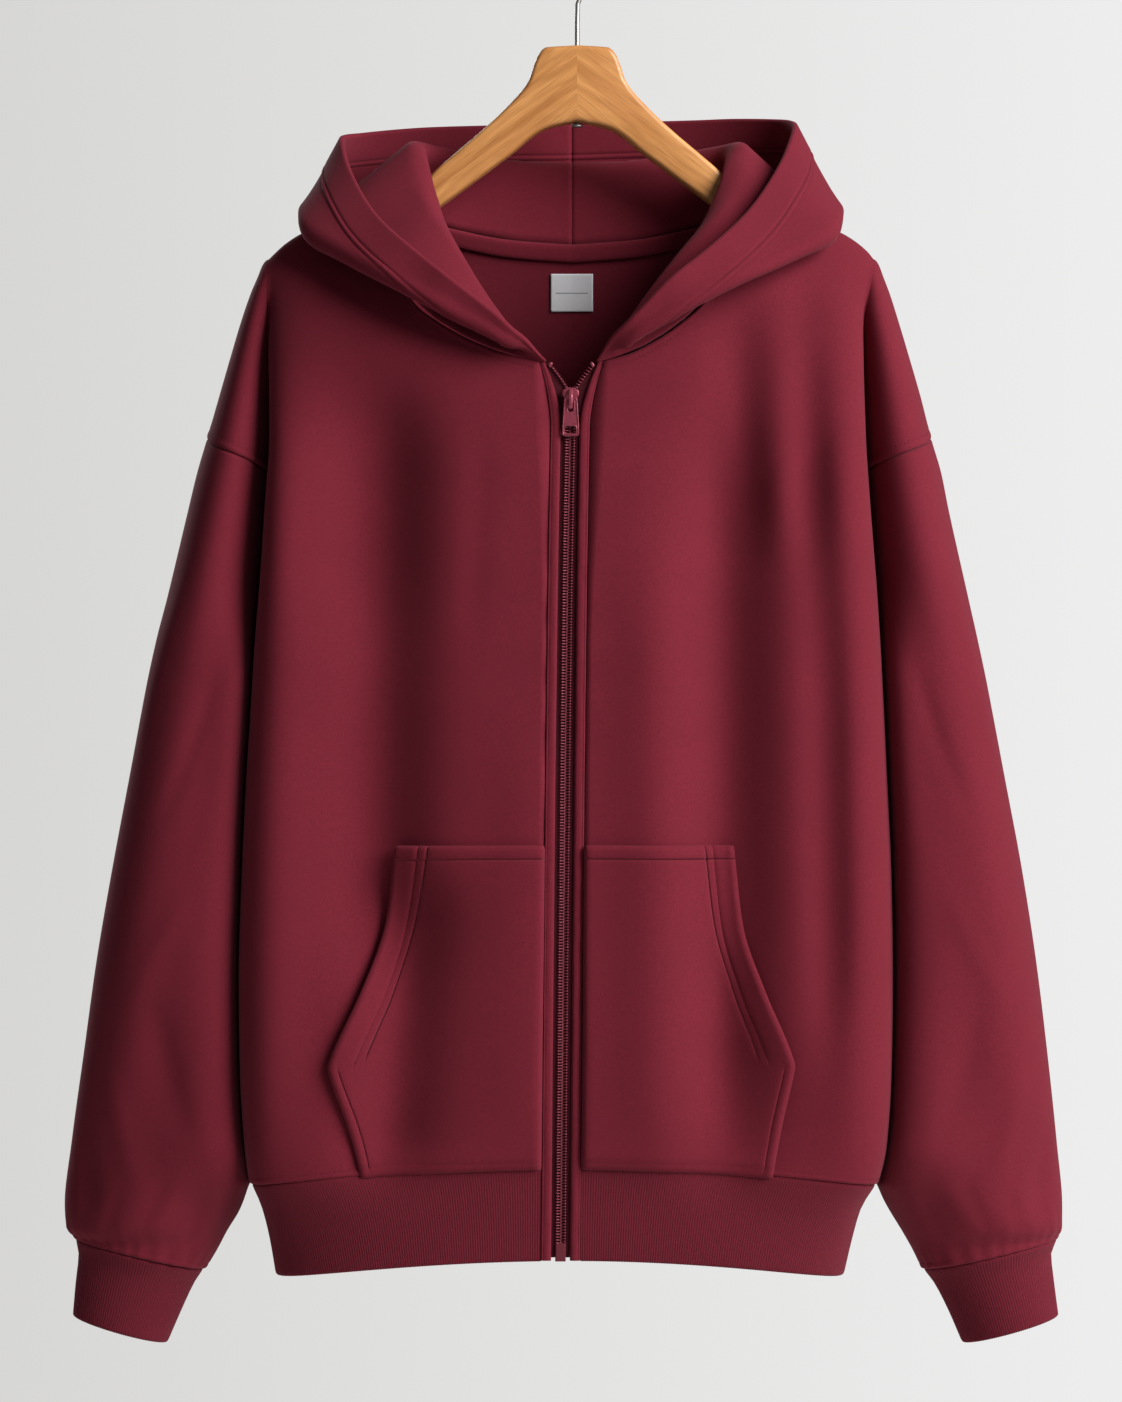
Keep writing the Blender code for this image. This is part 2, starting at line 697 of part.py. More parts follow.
class Shell:
    """Grids of points that share their seams, so that panels cut from them have the same normals there."""

    def __init__(self):
        self.index, self.points, self.faces, self.set_normals = {}, [], [], {}

    def set_normal(self, point, normal):
        """Gives the grid point nearest to this one a normal of its own."""
        nearest = int(np.argmin(np.linalg.norm(np.array(self.points) - point, axis=1)))
        self.set_normals[nearest] = normal

    def add(self, panel, grid, closed=False, flip=False):
        rows, columns = grid.shape[:2]
        ids = []
        for point in grid.reshape(-1, 3):
            key = tuple(np.round(point, 3) + 0.0)
            if key not in self.index:
                self.index[key] = len(self.points)
                self.points.append(point)
            ids.append(self.index[key])
        for a, b, c, d in quads_of(rows, columns, closed, flip):
            for half_face in ((a, b, c), (a, c, d)):
                corners = list(dict.fromkeys(ids[i] for i in half_face))
                if len(corners) > 2:
                    self.faces.append((panel, corners))

    def normals(self):
        points = np.array(self.points)
        total = np.zeros_like(points)
        for _, corners in self.faces:
            p = points[corners]
            facing = unit(np.cross(p[1] - p[0], p[2] - p[0]))
            for k in range(3):
                a, b = unit(p[(k + 1) % 3] - p[k]), unit(p[(k + 2) % 3] - p[k])
                total[corners[k]] += facing * math.acos(float(np.clip(a @ b, -1, 1)))
        for i, normal in self.set_normals.items():
            total[i] = normal
        return unit(total)

    def mitres(self, normals):
        """How much further each point moves, so that the wall keeps its thickness round creases."""
        points = np.array(self.points)
        total, count = np.zeros(len(points)), np.zeros(len(points))
        for _, corners in self.faces:
            p = points[corners]
            area = np.linalg.norm(np.cross(p[1] - p[0], p[2] - p[0]))
            facing = unit(np.cross(p[1] - p[0], p[2] - p[0]))
            total[corners] += np.clip(normals[corners] @ facing, 0.1, 1) * area
            count[corners] += area
        return 1 / np.clip(total / np.maximum(count, 1e-9), 0.62, 1)

    def wall(self, panel, thickness, material, centred=False, gap=SEAM_GAP):
        """The panel as a closed wall of cloth, drawn back from its seams by half the gap."""
        points, normals = np.array(self.points), self.normals()
        normals = normals * self.mitres(normals)[:, None]
        faces = [corners for name, corners in self.faces if name == panel]
        uses = {}
        for corners in faces:
            for a, b in zip(corners, corners[1:] + corners[:1]):
                uses.setdefault((min(a, b), max(a, b)), []).append((a, b))
        rim = [ways[0] for ways in uses.values() if len(ways) == 1]
        on_rim = {i for edge in rim for i in edge}
        inward = {i: np.zeros(3) for i in on_rim}
        for corners in faces:
            centre = points[corners].mean(0)
            for i in set(corners) & on_rim:
                inward[i] += centre - points[i]
        moved = points.copy()
        for a, b in rim:
            along = unit(points[b] - points[a])
            for i in (a, b):
                inward[i] -= along * np.dot(inward[i], along) * 0.5
        for i, way in inward.items():
            moved[i] += unit(way) * gap / 2
        used = sorted({i for corners in faces for i in corners})
        new = {old: i for i, old in enumerate(used)}
        count = len(used)
        outer, inner = (0.5, -0.5) if centred else (0.0, -1.0)
        thickness = np.broadcast_to(thickness, len(points))
        mesh_points = [moved[i] + normals[i] * thickness[i] * outer for i in used]
        mesh_points += [moved[i] + normals[i] * thickness[i] * inner for i in used]
        mesh_faces = [[new[i] for i in corners] for corners in faces]
        mesh_faces += [[new[i] + count for i in reversed(corners)] for corners in faces]
        mesh_faces += [[new[b], new[a], new[a] + count, new[b] + count] for a, b in rim]
        return new_object(panel, mesh_points, mesh_faces, material)


    def wall_named(self, name, normals, thickness, material):
        """All faces as a closed wall that reaches back along the given normals."""
        uses = {}
        for _, corners in self.faces:
            for a, b in zip(corners, corners[1:] + corners[:1]):
                uses.setdefault((min(a, b), max(a, b)), []).append((a, b))
        rim = [ways[0] for ways in uses.values() if len(ways) == 1]
        count = len(self.points)
        points = list(self.points) + [p - n * thickness for p, n in zip(self.points, normals)]
        faces = [corners for _, corners in self.faces]
        faces += [[i + count for i in reversed(corners)] for corners in faces]
        faces += [[b, a, a + count, b + count] for a, b in rim]
        outward(new_object(name, points, faces, material))


def stitched(first, second):
    """Triangles between two rows of points of unequal number."""
    faces, i, j = [], 0, 0
    while i < len(first) - 1 or j < len(second) - 1:
        step_first = (i + 1) / (len(first) - 1) <= (j + 1) / (len(second) - 1)
        if j == len(second) - 1 or (i < len(first) - 1 and step_first):
            faces.append([first[i], first[i + 1], second[j]])
            i += 1
        else:
            faces.append([first[i], second[j + 1], second[j]])
            j += 1
    return faces


def ribbed_wall(name, outer, inner, material, closed):
    """A wall whose outer grid has more columns than its plain inner one. Grids are rows by columns."""
    base = outer.shape[0] * outer.shape[1]
    faces = quads_of(*outer.shape[:2], closed)
    faces += [[i + base for i in face] for face in quads_of(*inner.shape[:2], closed, flip=True)]
    for row, flip in ((0, True), (-1, False)):
        first = np.arange(base).reshape(outer.shape[:2])[row].tolist()
        second = (base + np.arange(inner.shape[0] * inner.shape[1]).reshape(inner.shape[:2]))[row].tolist()
        if closed:
            first, second = first + first[:1], second + second[:1]
        faces += [f if flip else f[::-1] for f in stitched(first, second)]
    if not closed:
        for column, flip in ((0, False), (-1, True)):
            first = np.arange(base).reshape(outer.shape[:2])[:, column].tolist()
            ids = base + np.arange(inner.shape[0] * inner.shape[1]).reshape(inner.shape[:2])
            second = ids[:, column].tolist()
            faces += [f if flip else f[::-1] for f in stitched(first, second)]
    points = np.concatenate([outer.reshape(-1, 3), inner.reshape(-1, 3)])
    obj = new_object(name, points, faces, material)
    outward(obj)
    return obj


def outward(obj):
    """Turns all faces outward."""
    work = bmesh.new()
    work.from_mesh(obj.data)
    bmesh.ops.recalc_face_normals(work, faces=work.faces)
    if work.calc_volume(signed=True) < 0:
        bmesh.ops.reverse_faces(work, faces=work.faces)
    work.to_mesh(obj.data)
    work.free()


def slab(name, outer, inner, material):
    """A closed sheet between two grids of the same size."""
    rows, columns = outer.shape[:2]
    count = rows * columns
    ids = np.arange(count).reshape(rows, columns)
    loop = np.concatenate([ids[0], ids[1:, -1], ids[-1, -2::-1], ids[-2:0:-1, 0]]).tolist()
    faces = quads_of(rows, columns)
    faces += [[i + count for i in face] for face in quads_of(rows, columns, flip=True)]
    faces += [[b, a, a + count, b + count] for a, b in zip(loop, loop[1:] + loop[:1])]
    points = np.concatenate([outer.reshape(-1, 3), inner.reshape(-1, 3)])
    obj = new_object(name, points, faces, material)
    outward(obj)
    return obj


def laid_on_front(name, x, z, out, thickness, material):
    """A sheet whose outer side stands that far out from the front panel."""
    normal = front_normal(x, z)
    outer = front_point(x, z) + normal * np.asarray(out)[..., None]
    return slab(name, outer, outer - normal * thickness, material)


def material_of(name, colour, roughness, metallic=0.0):
    material = bpy.data.materials.new(name)
    material.use_nodes = True
    shader = material.node_tree.nodes["Principled BSDF"]
    shader.inputs["Base Color"].default_value = colour
    shader.inputs["Roughness"].default_value = roughness
    shader.inputs["Metallic"].default_value = metallic
    return material


# ---------------------------------------------------------------- cloth panels
CAP_LEVELS = np.array([-229, -230.5, -234, -241, -253, -272, -300, -340, -379.0])
NOTCH_LEVELS = np.array([-379, -412, -452, -495.0])
LOW_LEVELS = np.array([-540, -590, -640, -690, -740, -790, -830, -855.0])
SLEEVE_ROWS = np.array([0, 0.05, 0.12, 0.2, 0.3, 0.4, 0.5, 0.6, 0.7, 0.79, 0.86, 0.91, 0.95, 0.98, 1.0])
RIDGE_COLUMNS, CAP_COLUMNS = 4, 5


def make_body_and_sleeves(cloth):
    """Front panels, back, and both sleeves, cut from one shell."""
    shell = Shell()
    side_levels = np.concatenate([CAP_LEVELS, NOTCH_LEVELS[1:], LOW_LEVELS])
    for side in (LEFT, RIGHT):
        name = NAMES[side]
        turned = side == LEFT
        shell.add(f"front_{name}", body_grid(side, -1, RIDGE_COLUMNS, side_levels), flip=not turned)
        shell.add(f"front_{name}", cap_grid(side, -1, CAP_LEVELS, CAP_COLUMNS), flip=not turned)
        shell.add("back", body_grid(side, 1, RIDGE_COLUMNS, side_levels), flip=turned)
        shell.add("back", cap_grid(side, 1, CAP_LEVELS, CAP_COLUMNS), flip=turned)
        for face in (-1, 1):
            end = [side * half(BODY, side, SEAM_FRONT_Z), face * crease_y(face, SEAM_FRONT_Z), SEAM_FRONT_Z]
            shell.set_normal(np.array(end, float), np.array([0.0, face, 0.0]))
    for panel in ("front_left", "front_right", "back"):
        shell.wall(panel, CLOTH, cloth)
    for side in (LEFT, RIGHT):
        sleeve = Shell()
        grid = sleeve_grid(side, CAP_COLUMNS, NOTCH_LEVELS, SLEEVE_ROWS)
        sleeve.add(f"sleeve_{NAMES[side]}", grid, flip=side == RIGHT)
        sleeve.wall(f"sleeve_{NAMES[side]}", CLOTH, cloth, gap=2 * SEAM_GAP)
    make_pockets(shell, cloth)


def make_cuffs(rib):
    """Ribbed cuffs, lofted from the sleeve's end."""
    around, coarse = 72, 24
    levels = np.array([0.012, 0.25, 0.6, 1.0])
    for side in (LEFT, RIGHT):
        fine = np.linspace(0, 2 * math.pi, around, endpoint=False)
        raised = np.where(np.arange(around) % 2 == 0, 0.0, -RIB_HEIGHT)
        outer = np.stack([cuff_point(side, fine, np.full(around, v), raised) for v in levels])
        plain = np.linspace(0, 2 * math.pi, coarse, endpoint=False)
        inward = np.full(coarse, -RIB_CLOTH)
        inner = np.stack([cuff_point(side, plain, np.full(coarse, v), inward) for v in levels])
        ribbed_wall(f"cuff_{NAMES[side]}", outer, inner, rib, closed=True)


def hem_row(z, count, out):
    """Points round the hem band from the left front edge, round the back, to the right front edge."""
    quarters = []
    for side, face in ((LEFT, -1), (LEFT, 1), (RIGHT, 1), (RIGHT, -1)):
        width, box = body_section(side, face, np.array(float(z)))
        start = column_angle(side * zip_edge(side, z), width, box) if face < 0 else 0.0
        angle = np.linspace(start, math.pi / 2, count + 1)
        if (side, face) in ((LEFT, 1), (RIGHT, -1)):
            angle = angle[::-1]
        across = across_at(angle, width, box)
        y = body_y(side, face, across, np.full(across.shape, float(z)))
        points = np.stack([side * (across + out * np.sin(angle)), y + face * out * np.cos(angle)], -1)
        points = np.column_stack([points, dipped(z, across, width)])
        quarters.append(points if not quarters else points[1:])
    return np.concatenate(quarters)


def make_hem(rib):
    """The ribbed hem band, open at the zip."""
    per_quarter, ratio = 48, 2
    levels = np.array([HEM_SEAM_Z - 2 * SEAM_GAP, HEM_SEAM_Z - 8, HEM_SEAM_Z - 24, HEM_Z])
    rib_low = (np.arange(4 * per_quarter + 1) % 2 == 1)[:, None]
    outer = []
    for z in levels:
        outer.append(np.where(rib_low, hem_row(z, per_quarter, -RIB_HEIGHT), hem_row(z, per_quarter, 0.0)))
    inner = [hem_row(z, per_quarter // ratio, -RIB_CLOTH) for z in levels]
    ribbed_wall("hem_band", np.stack(outer), np.stack(inner), rib, closed=False)


def make_hood(cloth):
    """Two hood panels, sewn together along the middle."""
    t = np.array([0, 0.05, 0.1, 0.15, 0.2, 0.3, 0.4, 0.48, 0.55, 0.595, 0.612, 0.62,
                  0.64, 0.67, 0.72, 0.77, 0.82, 0.87, 0.91, 0.955, 1.0])
    shell = Shell()
    for side in (LEFT, RIGHT):
        shell.add(f"hood_{NAMES[side]}", hood_grid(side, t), flip=side == RIGHT)
    for side in (LEFT, RIGHT):
        thickness = HOOD_CLOTH - 0.8 * ease((60 - np.abs(np.array(shell.points)[:, 0])) / 30)
        thickness = np.where(np.array(shell.points)[:, 1] < 0, thickness, HOOD_CLOTH)
        shell.wall(f"hood_{NAMES[side]}", thickness, cloth, centred=True)


def pocket_outline(side):
    """The pocket's corners (x, z), from the top beside the zip out, down the opening and along the hem seam."""
    z = np.array([-638, -664, -690, -714, -736, -758, -776, -781.5, -787, -820, HEM_SEAM_Z])
    across = half(POCKET, side, z)
    width = half(BODY, side, z)
    outer = np.stack([side * across, dipped(z, across, width)], 1)
    outer[-1, 1] += 1.0
    inner_z = np.array([HEM_SEAM_Z + 1.0, POCKET_TOP_Z])
    inner = np.stack([zip_edge(side, inner_z, ZIP_EDGE + 0.8), inner_z], 1)
    return np.concatenate([outer, inner])


def make_pockets(shell, cloth):
    """Patch pockets, cut from the front panels' own faces and laid on them, with open slanted outer edges."""
    points, normals = np.array(shell.points), shell.normals()
    for side in (LEFT, RIGHT):
        outline = pocket_outline(side)
        work = bmesh.new()
        layer = work.verts.layers.float_vector.new("normal")
        made = {}
        for name, corners in shell.faces:
            if name != f"front_{NAMES[side]}" or points[corners][:, 2].min() > POCKET_TOP_Z:
                continue
            for i in corners:
                if i not in made:
                    made[i] = work.verts.new(points[i])
                    made[i][layer] = normals[i]
            work.faces.new([made[i] for i in corners])
        bmesh.ops.triangulate(work, faces=work.faces)
        for (x0, z0), (x1, z1) in zip(outline, np.roll(outline, -1, 0)):
            away = Vector((z1 - z0, 0, x0 - x1))
            inside = Vector((outline[:, 0].mean() - x0, 0, outline[:, 1].mean() - z0))
            if away.dot(inside) > 0:
                away = -away
            upright = abs(x1 - x0) < abs(z1 - z0)
            low, high = min(z0, z1) - 0.01, max(z0, z1) + 0.01
            near = [f for f in work.faces if not upright or min(v.co.z for v in f.verts) < high]
            near = [f for f in near if not upright or max(v.co.z for v in f.verts) > low]
            edges = {e for f in near for e in f.edges}
            verts = {v for f in near for v in f.verts}
            bmesh.ops.bisect_plane(
                work, geom=near + list(edges) + list(verts), dist=0.02, plane_co=(x0, 0, z0), plane_no=away
            )
        outside = [f for f in work.faces if not within(outline, f.calc_center_median())]
        bmesh.ops.delete(work, geom=outside, context="FACES")
        bmesh.ops.dissolve_limit(work, angle_limit=math.radians(0.05), verts=work.verts, edges=work.edges)
        bmesh.ops.triangulate(work, faces=work.faces)
        laid = Shell()
        laid.points = [np.array(v.co) for v in work.verts]
        work.verts.index_update()
        laid.faces = [("pocket", [v.index for v in f.verts]) for f in work.faces]
        outward_from = np.array([np.array(v[layer]) for v in work.verts])
        work.free()
        base = unit(outward_from)
        share = np.array([(HEM_SEAM_Z - p[2]) / (HEM_SEAM_Z - POCKET_TOP_Z) for p in laid.points])
        heights = [p[2] for p in laid.points]
        opening = np.interp(heights, POCKET["z"][::-1], half(POCKET, side, POCKET["z"])[::-1])
        reach = ease(1 - (opening - side * np.array(laid.points)[:, 0]) / 45)
        lift = POCKET_LIFT * reach * ease((1 - share) * 7) * ease((share - 0.28) * 6)
        for i, point in enumerate(laid.points):
            laid.points[i] = point + base[i] * (LAY_GAP + POCKET_CLOTH + lift[i])
        laid.wall_named(f"pocket_{NAMES[side]}", base, POCKET_CLOTH, cloth)


def within(outline, point):
    """Whether the point's x and z lie within the outline."""
    inside = False
    for (x0, z0), (x1, z1) in zip(outline, np.roll(outline, -1, 0)):
        if (z0 > point.z) != (z1 > point.z) and point.x < (x1 - x0) * (point.z - z0) / (z1 - z0) + x0:
            inside = not inside
    return inside


# ---------------------------------------------------------------- zip, label and tape
def strip_levels(top, bottom, count):
    return np.linspace(top, bottom, count)[:, None]


def bead_offset(z):
    """How far the middle of the zip's open end is from the axis above the slider."""
    return 2.2 + (BEAD_TOP - 2.2) * np.clip((z - SLIDER_TOP_Z) / (ZIP_TOP_Z - SLIDER_TOP_Z), 0, 1) ** 1.15


def tape_edge(z):
    """How far the tape's inner edge is from the axis: beside the chain, or beside the open end."""
    return np.maximum(CHAIN_HALF, bead_offset(z) + BEAD_HALF) + LAY_GAP


def make_facings(cloth):
    """Folded cloth facings along both sides of the zip, from the neck to the hem's lower edge."""
    z = np.concatenate([strip_levels(ZIP_TOP_Z + 0.4, ZIP_OPEN_Z, 6), strip_levels(-365, HEM_Z, 14)])
    share = np.linspace(0, 1, 3)[None, :]
    near, far = FACING_EDGE + FACING_SPREAD * zip_opening(z), ZIP_EDGE - LAY_GAP + zip_opening(z)
    out = FACING_PROUD - 0.5 * np.abs(2 * share - 1) + 0 * z
    for side in (LEFT, RIGHT):
        x = zip_x(z) + side * (near + (far - near) * share)
        laid_on_front(f"facing_{NAMES[side]}", x, z + 0 * share, out, CLOTH, cloth)


def make_zip(cloth, metal):
    """Tapes behind the facings, the closed chain, its open ends, and the end box."""
    for side in (LEFT, RIGHT):
        z = np.concatenate([strip_levels(ZIP_TOP_Z, ZIP_OPEN_Z, 7), strip_levels(-365, HEM_Z + 2, 13)])
        share = np.linspace(0, 1, 3)[None, :]
        near, far = tape_edge(z), ZIP_EDGE - 2 * LAY_GAP + zip_opening(z)
        x = zip_x(z) + side * (near + (far - near) * share)
        laid_on_front(f"zip_tape_{NAMES[side]}", x, z + 0 * share, TAPE_OUT + 0 * x, TAPE_THICK, cloth)
        z = strip_levels(ZIP_TOP_Z, SLIDER_TOP_Z + LAY_GAP, 7)
        x = zip_x(z) + side * (bead_offset(z) + np.array([-BEAD_HALF, 0.0, BEAD_HALF])[None, :])
        laid_on_front(f"zip_top_{NAMES[side]}", x, z + 0 * x, CHAIN_OUT - 0.6 + 0 * x, 2.0, metal)
    z = strip_levels(SLIDER_TOP_Z - LAY_GAP, HEM_Z + 12.5, 14)
    share = np.linspace(-1, 1, 5)[None, :]
    x = zip_x(z) + CHAIN_HALF * share
    laid_on_front("zip_chain", x, z + 0 * share, CHAIN_OUT - 0.7 * share**2 + 0 * z, CHAIN_THICK, metal)
    z = strip_levels(HEM_Z + 12.1, HEM_Z - 0.5, 4)
    x = zip_x(z) + CHAIN_HALF * np.array([-1, -0.8, 0.8, 1])[None, :]
    out = CHAIN_OUT + np.array([0.1, 0.9, 0.9, 0.1])[None, :] + 0 * x
    laid_on_front("zip_box", x, z + 0 * x, out, CHAIN_THICK + 0.9, metal)


def box_mesh(work, low, high):
    """Adds a closed box to a bmesh, in millimetres."""
    made = bmesh.ops.create_cube(work, size=1.0)
    size, centre = np.subtract(high, low), np.add(high, low) / 2
    for vert in made["verts"]:
        vert.co = Vector([(vert.co[i] * size[i] + centre[i]) * MM for i in range(3)])


def boolean(obj, other, operation):
    modifier = obj.modifiers.new(operation.lower(), "BOOLEAN")
    modifier.operation = operation
    modifier.object = other
    modifier.solver = "EXACT"


def helper(name, build):
    """A cutter or a piece to be joined, which isn't itself part of the object."""
    work = bmesh.new()
    build(work)
    mesh = bpy.data.meshes.new(name)
    work.to_mesh(mesh)
    work.free()
    obj = bpy.data.objects.new(name, mesh)
    HELPERS.objects.link(obj)
    obj.hide_render = True
    obj.display_type = "WIRE"
    return obj


SLIDER_WIDTH, SLIDER_LENGTH, SLIDER_PLATE = 11.6, 14.5, 1.7
BRIDGE_HALF, BRIDGE_TALL = 1.4, 4.6
BRIDGE_ABOVE, BRIDGE_BELOW = 7.6, 6.0    # how far the bridge reaches from the pull's hinge
PULL_LENGTH, PULL_THICK = 24.4, 1.8
PULL_HINGE_DROP = 7.7    # below the slider's top


def slider_frame():
    """(x, y of the chain's outer side, z of the slider's top) where the slider sits."""
    x = float(zip_x(SLIDER_TOP_Z - 8))
    y = float(front_point(x, SLIDER_TOP_Z - 8)[1]) - CHAIN_OUT
    return x, y - 0.6, SLIDER_TOP_Z


def pull_axis():
    """The pull's hinge axis: (x, y, z), along X."""
    x, y, top = slider_frame()
    return x, y - SLIDER_PLATE - 2.3, top - PULL_HINGE_DROP


def make_slider(metal):
    """The slider's front plate, tapering downwards, with the bridge that holds the pull."""
    x, y, top = slider_frame()
    work = bmesh.new()
    half_top, half_low = SLIDER_WIDTH / 2, 3.9
    front, rear = y - LAY_GAP - SLIDER_PLATE, y - LAY_GAP
    flank = [(3.0, 1.2), (half_top - 1.0, -0.4), (half_top, -2.8), (half_top - 0.6, -5.8), (half_low, -9),
             (half_low, -SLIDER_LENGTH)]
    outline = [(-px, pz) for px, pz in flank] + flank[::-1]
    verts = [work.verts.new(Vector((x + px, front, top + pz)) * MM) for px, pz in outline]
    face = work.faces.new(verts)
    made = bmesh.ops.extrude_face_region(work, geom=[face])
    moved = [v for v in made["geom"] if isinstance(v, bmesh.types.BMVert)]
    bmesh.ops.translate(work, verts=moved, vec=Vector((0, rear - front, 0)) * MM)
    bmesh.ops.recalc_face_normals(work, faces=work.faces)
    mesh = bpy.data.meshes.new("zip_slider")
    work.to_mesh(mesh)
    work.free()
    obj = bpy.data.objects.new("zip_slider", mesh)
    HOODIE.objects.link(obj)
    _, axis_y, axis_z = pull_axis()
    eye = 1.3

    def bridge(work):
        """A strap that stands on the plate and slopes down to it at both ends."""
        profile = [(0.8, BRIDGE_ABOVE), (-0.9, BRIDGE_ABOVE), (-BRIDGE_TALL, 3.4), (-BRIDGE_TALL, -4.2),
                   (-2.6, -BRIDGE_BELOW), (0.8, -BRIDGE_BELOW)]
        corners = [Vector((x - BRIDGE_HALF, front + py, axis_z + pz)) * MM for py, pz in profile]
        strap = work.faces.new([work.verts.new(corner) for corner in corners])
        pulled = bmesh.ops.extrude_face_region(work, geom=[strap])
        ends = [v for v in pulled["geom"] if isinstance(v, bmesh.types.BMVert)]
        bmesh.ops.translate(work, verts=ends, vec=Vector((2 * BRIDGE_HALF, 0, 0)) * MM)
        bmesh.ops.recalc_face_normals(work, faces=work.faces)

    def window(work):
        box_mesh(work, (x - 5, axis_y - eye, axis_z - eye), (x + 5, axis_y + eye, axis_z + eye))

    boolean(obj, helper("bridge", bridge), "UNION")
    boolean(obj, helper("bridge_window", window), "DIFFERENCE")
    finish(obj, metal)


def make_pull(metal):
    """The pull: a tapered plate with a crossbar through the bridge and a window near its foot."""
    x, y, z = pull_axis()
    work = bmesh.new()
    top_half, low_half, bar = 4.5, 5.8, 0.8
    flank = [(top_half, 1.6), (low_half - 0.3, 5 - PULL_LENGTH), (low_half, 1.2 - PULL_LENGTH),
             (low_half - 1.2, -PULL_LENGTH)]
    outline = [(-px, pz) for px, pz in flank[::-1]] + flank
    front = y - PULL_THICK / 2
    verts = [work.verts.new(Vector((x + px, front, z + pz)) * MM) for px, pz in outline]
    face = work.faces.new(verts)
    made = bmesh.ops.extrude_face_region(work, geom=[face])
    moved = [v for v in made["geom"] if isinstance(v, bmesh.types.BMVert)]
    bmesh.ops.translate(work, verts=moved, vec=Vector((0, PULL_THICK, 0)) * MM)
    bmesh.ops.recalc_face_normals(work, faces=work.faces)
    mesh = bpy.data.meshes.new("zip_pull")
    work.to_mesh(mesh)
    work.free()
    obj = bpy.data.objects.new("zip_pull", mesh)
    HOODIE.objects.link(obj)

    def slot(work):
        box_mesh(work, (x - 2.2, front - 1, z - 7.8), (x + 2.2, front + PULL_THICK + 1, z - bar))

    def above(work):
        box_mesh(work, (x - 2.2, front - 1, z + bar), (x + 2.2, front + PULL_THICK + 1, z + 3))

    def foot(work):
        low, high = z - PULL_LENGTH + 1.8, z - PULL_LENGTH + 6.9
        box_mesh(work, (x - 3.9, front - 1, low), (x + 3.9, front + PULL_THICK + 1, high))

    for name, build in (("pull_slot", slot), ("pull_top", above), ("pull_window", foot)):
        boolean(obj, helper(name, build), "DIFFERENCE")
    finish(obj, metal)


def back_inside(x, z, inward):
    """A point that far inside the back panel."""
    x, z = np.broadcast_arrays(np.asarray(x, float), np.asarray(z, float))

    def surface(px, pz):
        y = np.where(px < 0, body_y(LEFT, 1, np.abs(px), pz), body_y(RIGHT, 1, np.abs(px), pz))
        return np.stack([px, y, pz], -1)

    step = 2.0
    up, sideways = surface(x, z + step) - surface(x, z - step), surface(x + step, z) - surface(x - step, z)
    normal = unit(np.cross(up, sideways))
    return surface(x, z) - normal * inward


LABEL_WIDTH, LABEL_HEIGHT, LABEL_TOP_Z, LABEL_THICK = 30.0, 26.5, -235.0, 0.6
TAPE_HEIGHT, NECK_TAPE_THICK = 8.0, 1.2


def make_label(satin):
    """The neck label, on the inside of the back."""
    z = strip_levels(LABEL_TOP_Z, LABEL_TOP_Z - LABEL_HEIGHT, 4)
    x = np.linspace(-LABEL_WIDTH / 2, LABEL_WIDTH / 2, 5)[None, :]
    near = back_inside(x, z, CLOTH + LAY_GAP + LABEL_THICK)
    far = back_inside(x, z, CLOTH + LAY_GAP)
    slab("neck_label", near, far, satin)


def make_neck_tape(cloth):
    """The tape that covers the neck seam inside the back."""
    t = np.concatenate([np.linspace(0.76, 1.0, 8), np.linspace(1.0, 0.76, 8)[1:]])
    sides = np.array([LEFT] * 8 + [RIGHT] * 7)
    x = np.array([s * neck_x(s, v) for s, v in zip(sides, t)])
    z = smooth(NECKLINE, "z", t, "t")
    rows = np.array([-0.8, -0.8 - TAPE_HEIGHT / 2, -0.8 - TAPE_HEIGHT])[:, None]
    near = back_inside(x[None, :], z[None, :] + rows, CLOTH + 2 * LAY_GAP + NECK_TAPE_THICK)
    far = back_inside(x[None, :], z[None, :] + rows, CLOTH + 2 * LAY_GAP)
    slab("neck_tape", near, far, cloth)


# ---------------------------------------------------------------- hanger
def make_hanger(wood):
    """The hanger's wood: a flat outline with rounded edges, bored for the hook."""
    round_edge = 3.6
    x = np.concatenate([np.linspace(0, 30, 6), np.linspace(38, 196, 13)])
    top = np.stack([x, smooth(HANGER_TOP, "z", x, "x")], 1)
    bottom = np.stack([x, smooth(HANGER_BOTTOM, "z", x, "x")], 1)
    end = np.array([[200, -229], [201.5, -233], [200, -237.5]])
    right = np.concatenate([top, end, bottom[::-1]])
    left = (right * [-1, 1])[::-1]
    outline = np.concatenate([right, left[1:-1]])
    curve = bpy.data.curves.new("wood_outline", "CURVE")
    curve.dimensions = "2D"
    curve.fill_mode = "BOTH"
    curve.extrude = (HANGER_THICK / 2 - round_edge) * MM
    curve.bevel_depth = round_edge * MM
    curve.bevel_resolution = 1
    curve.offset = -round_edge * MM
    spline = curve.splines.new("POLY")
    spline.points.add(len(outline) - 1)
    for point, (px, pz) in zip(spline.points, outline):
        point.co = (px * MM, pz * MM, 0, 1)
    spline.use_cyclic_u = True
    guide_obj = bpy.data.objects.new("wood_outline", curve)
    HELPERS.objects.link(guide_obj)
    guide_obj.rotation_euler = (math.pi / 2, 0, 0)
    obj = as_mesh(guide_obj, "hanger_wood")

    def bore(work):
        made = bmesh.ops.create_cone(work, cap_ends=True, segments=16, radius1=(HOOK_WIRE / 2 + 0.45) * MM,
                                     radius2=(HOOK_WIRE / 2 + 0.45) * MM, depth=70 * MM)
        bmesh.ops.translate(work, verts=made["verts"], vec=Vector((0, 0, -106)) * MM)

    boolean(obj, helper("hook_bore", bore), "DIFFERENCE")
    finish(obj, wood)


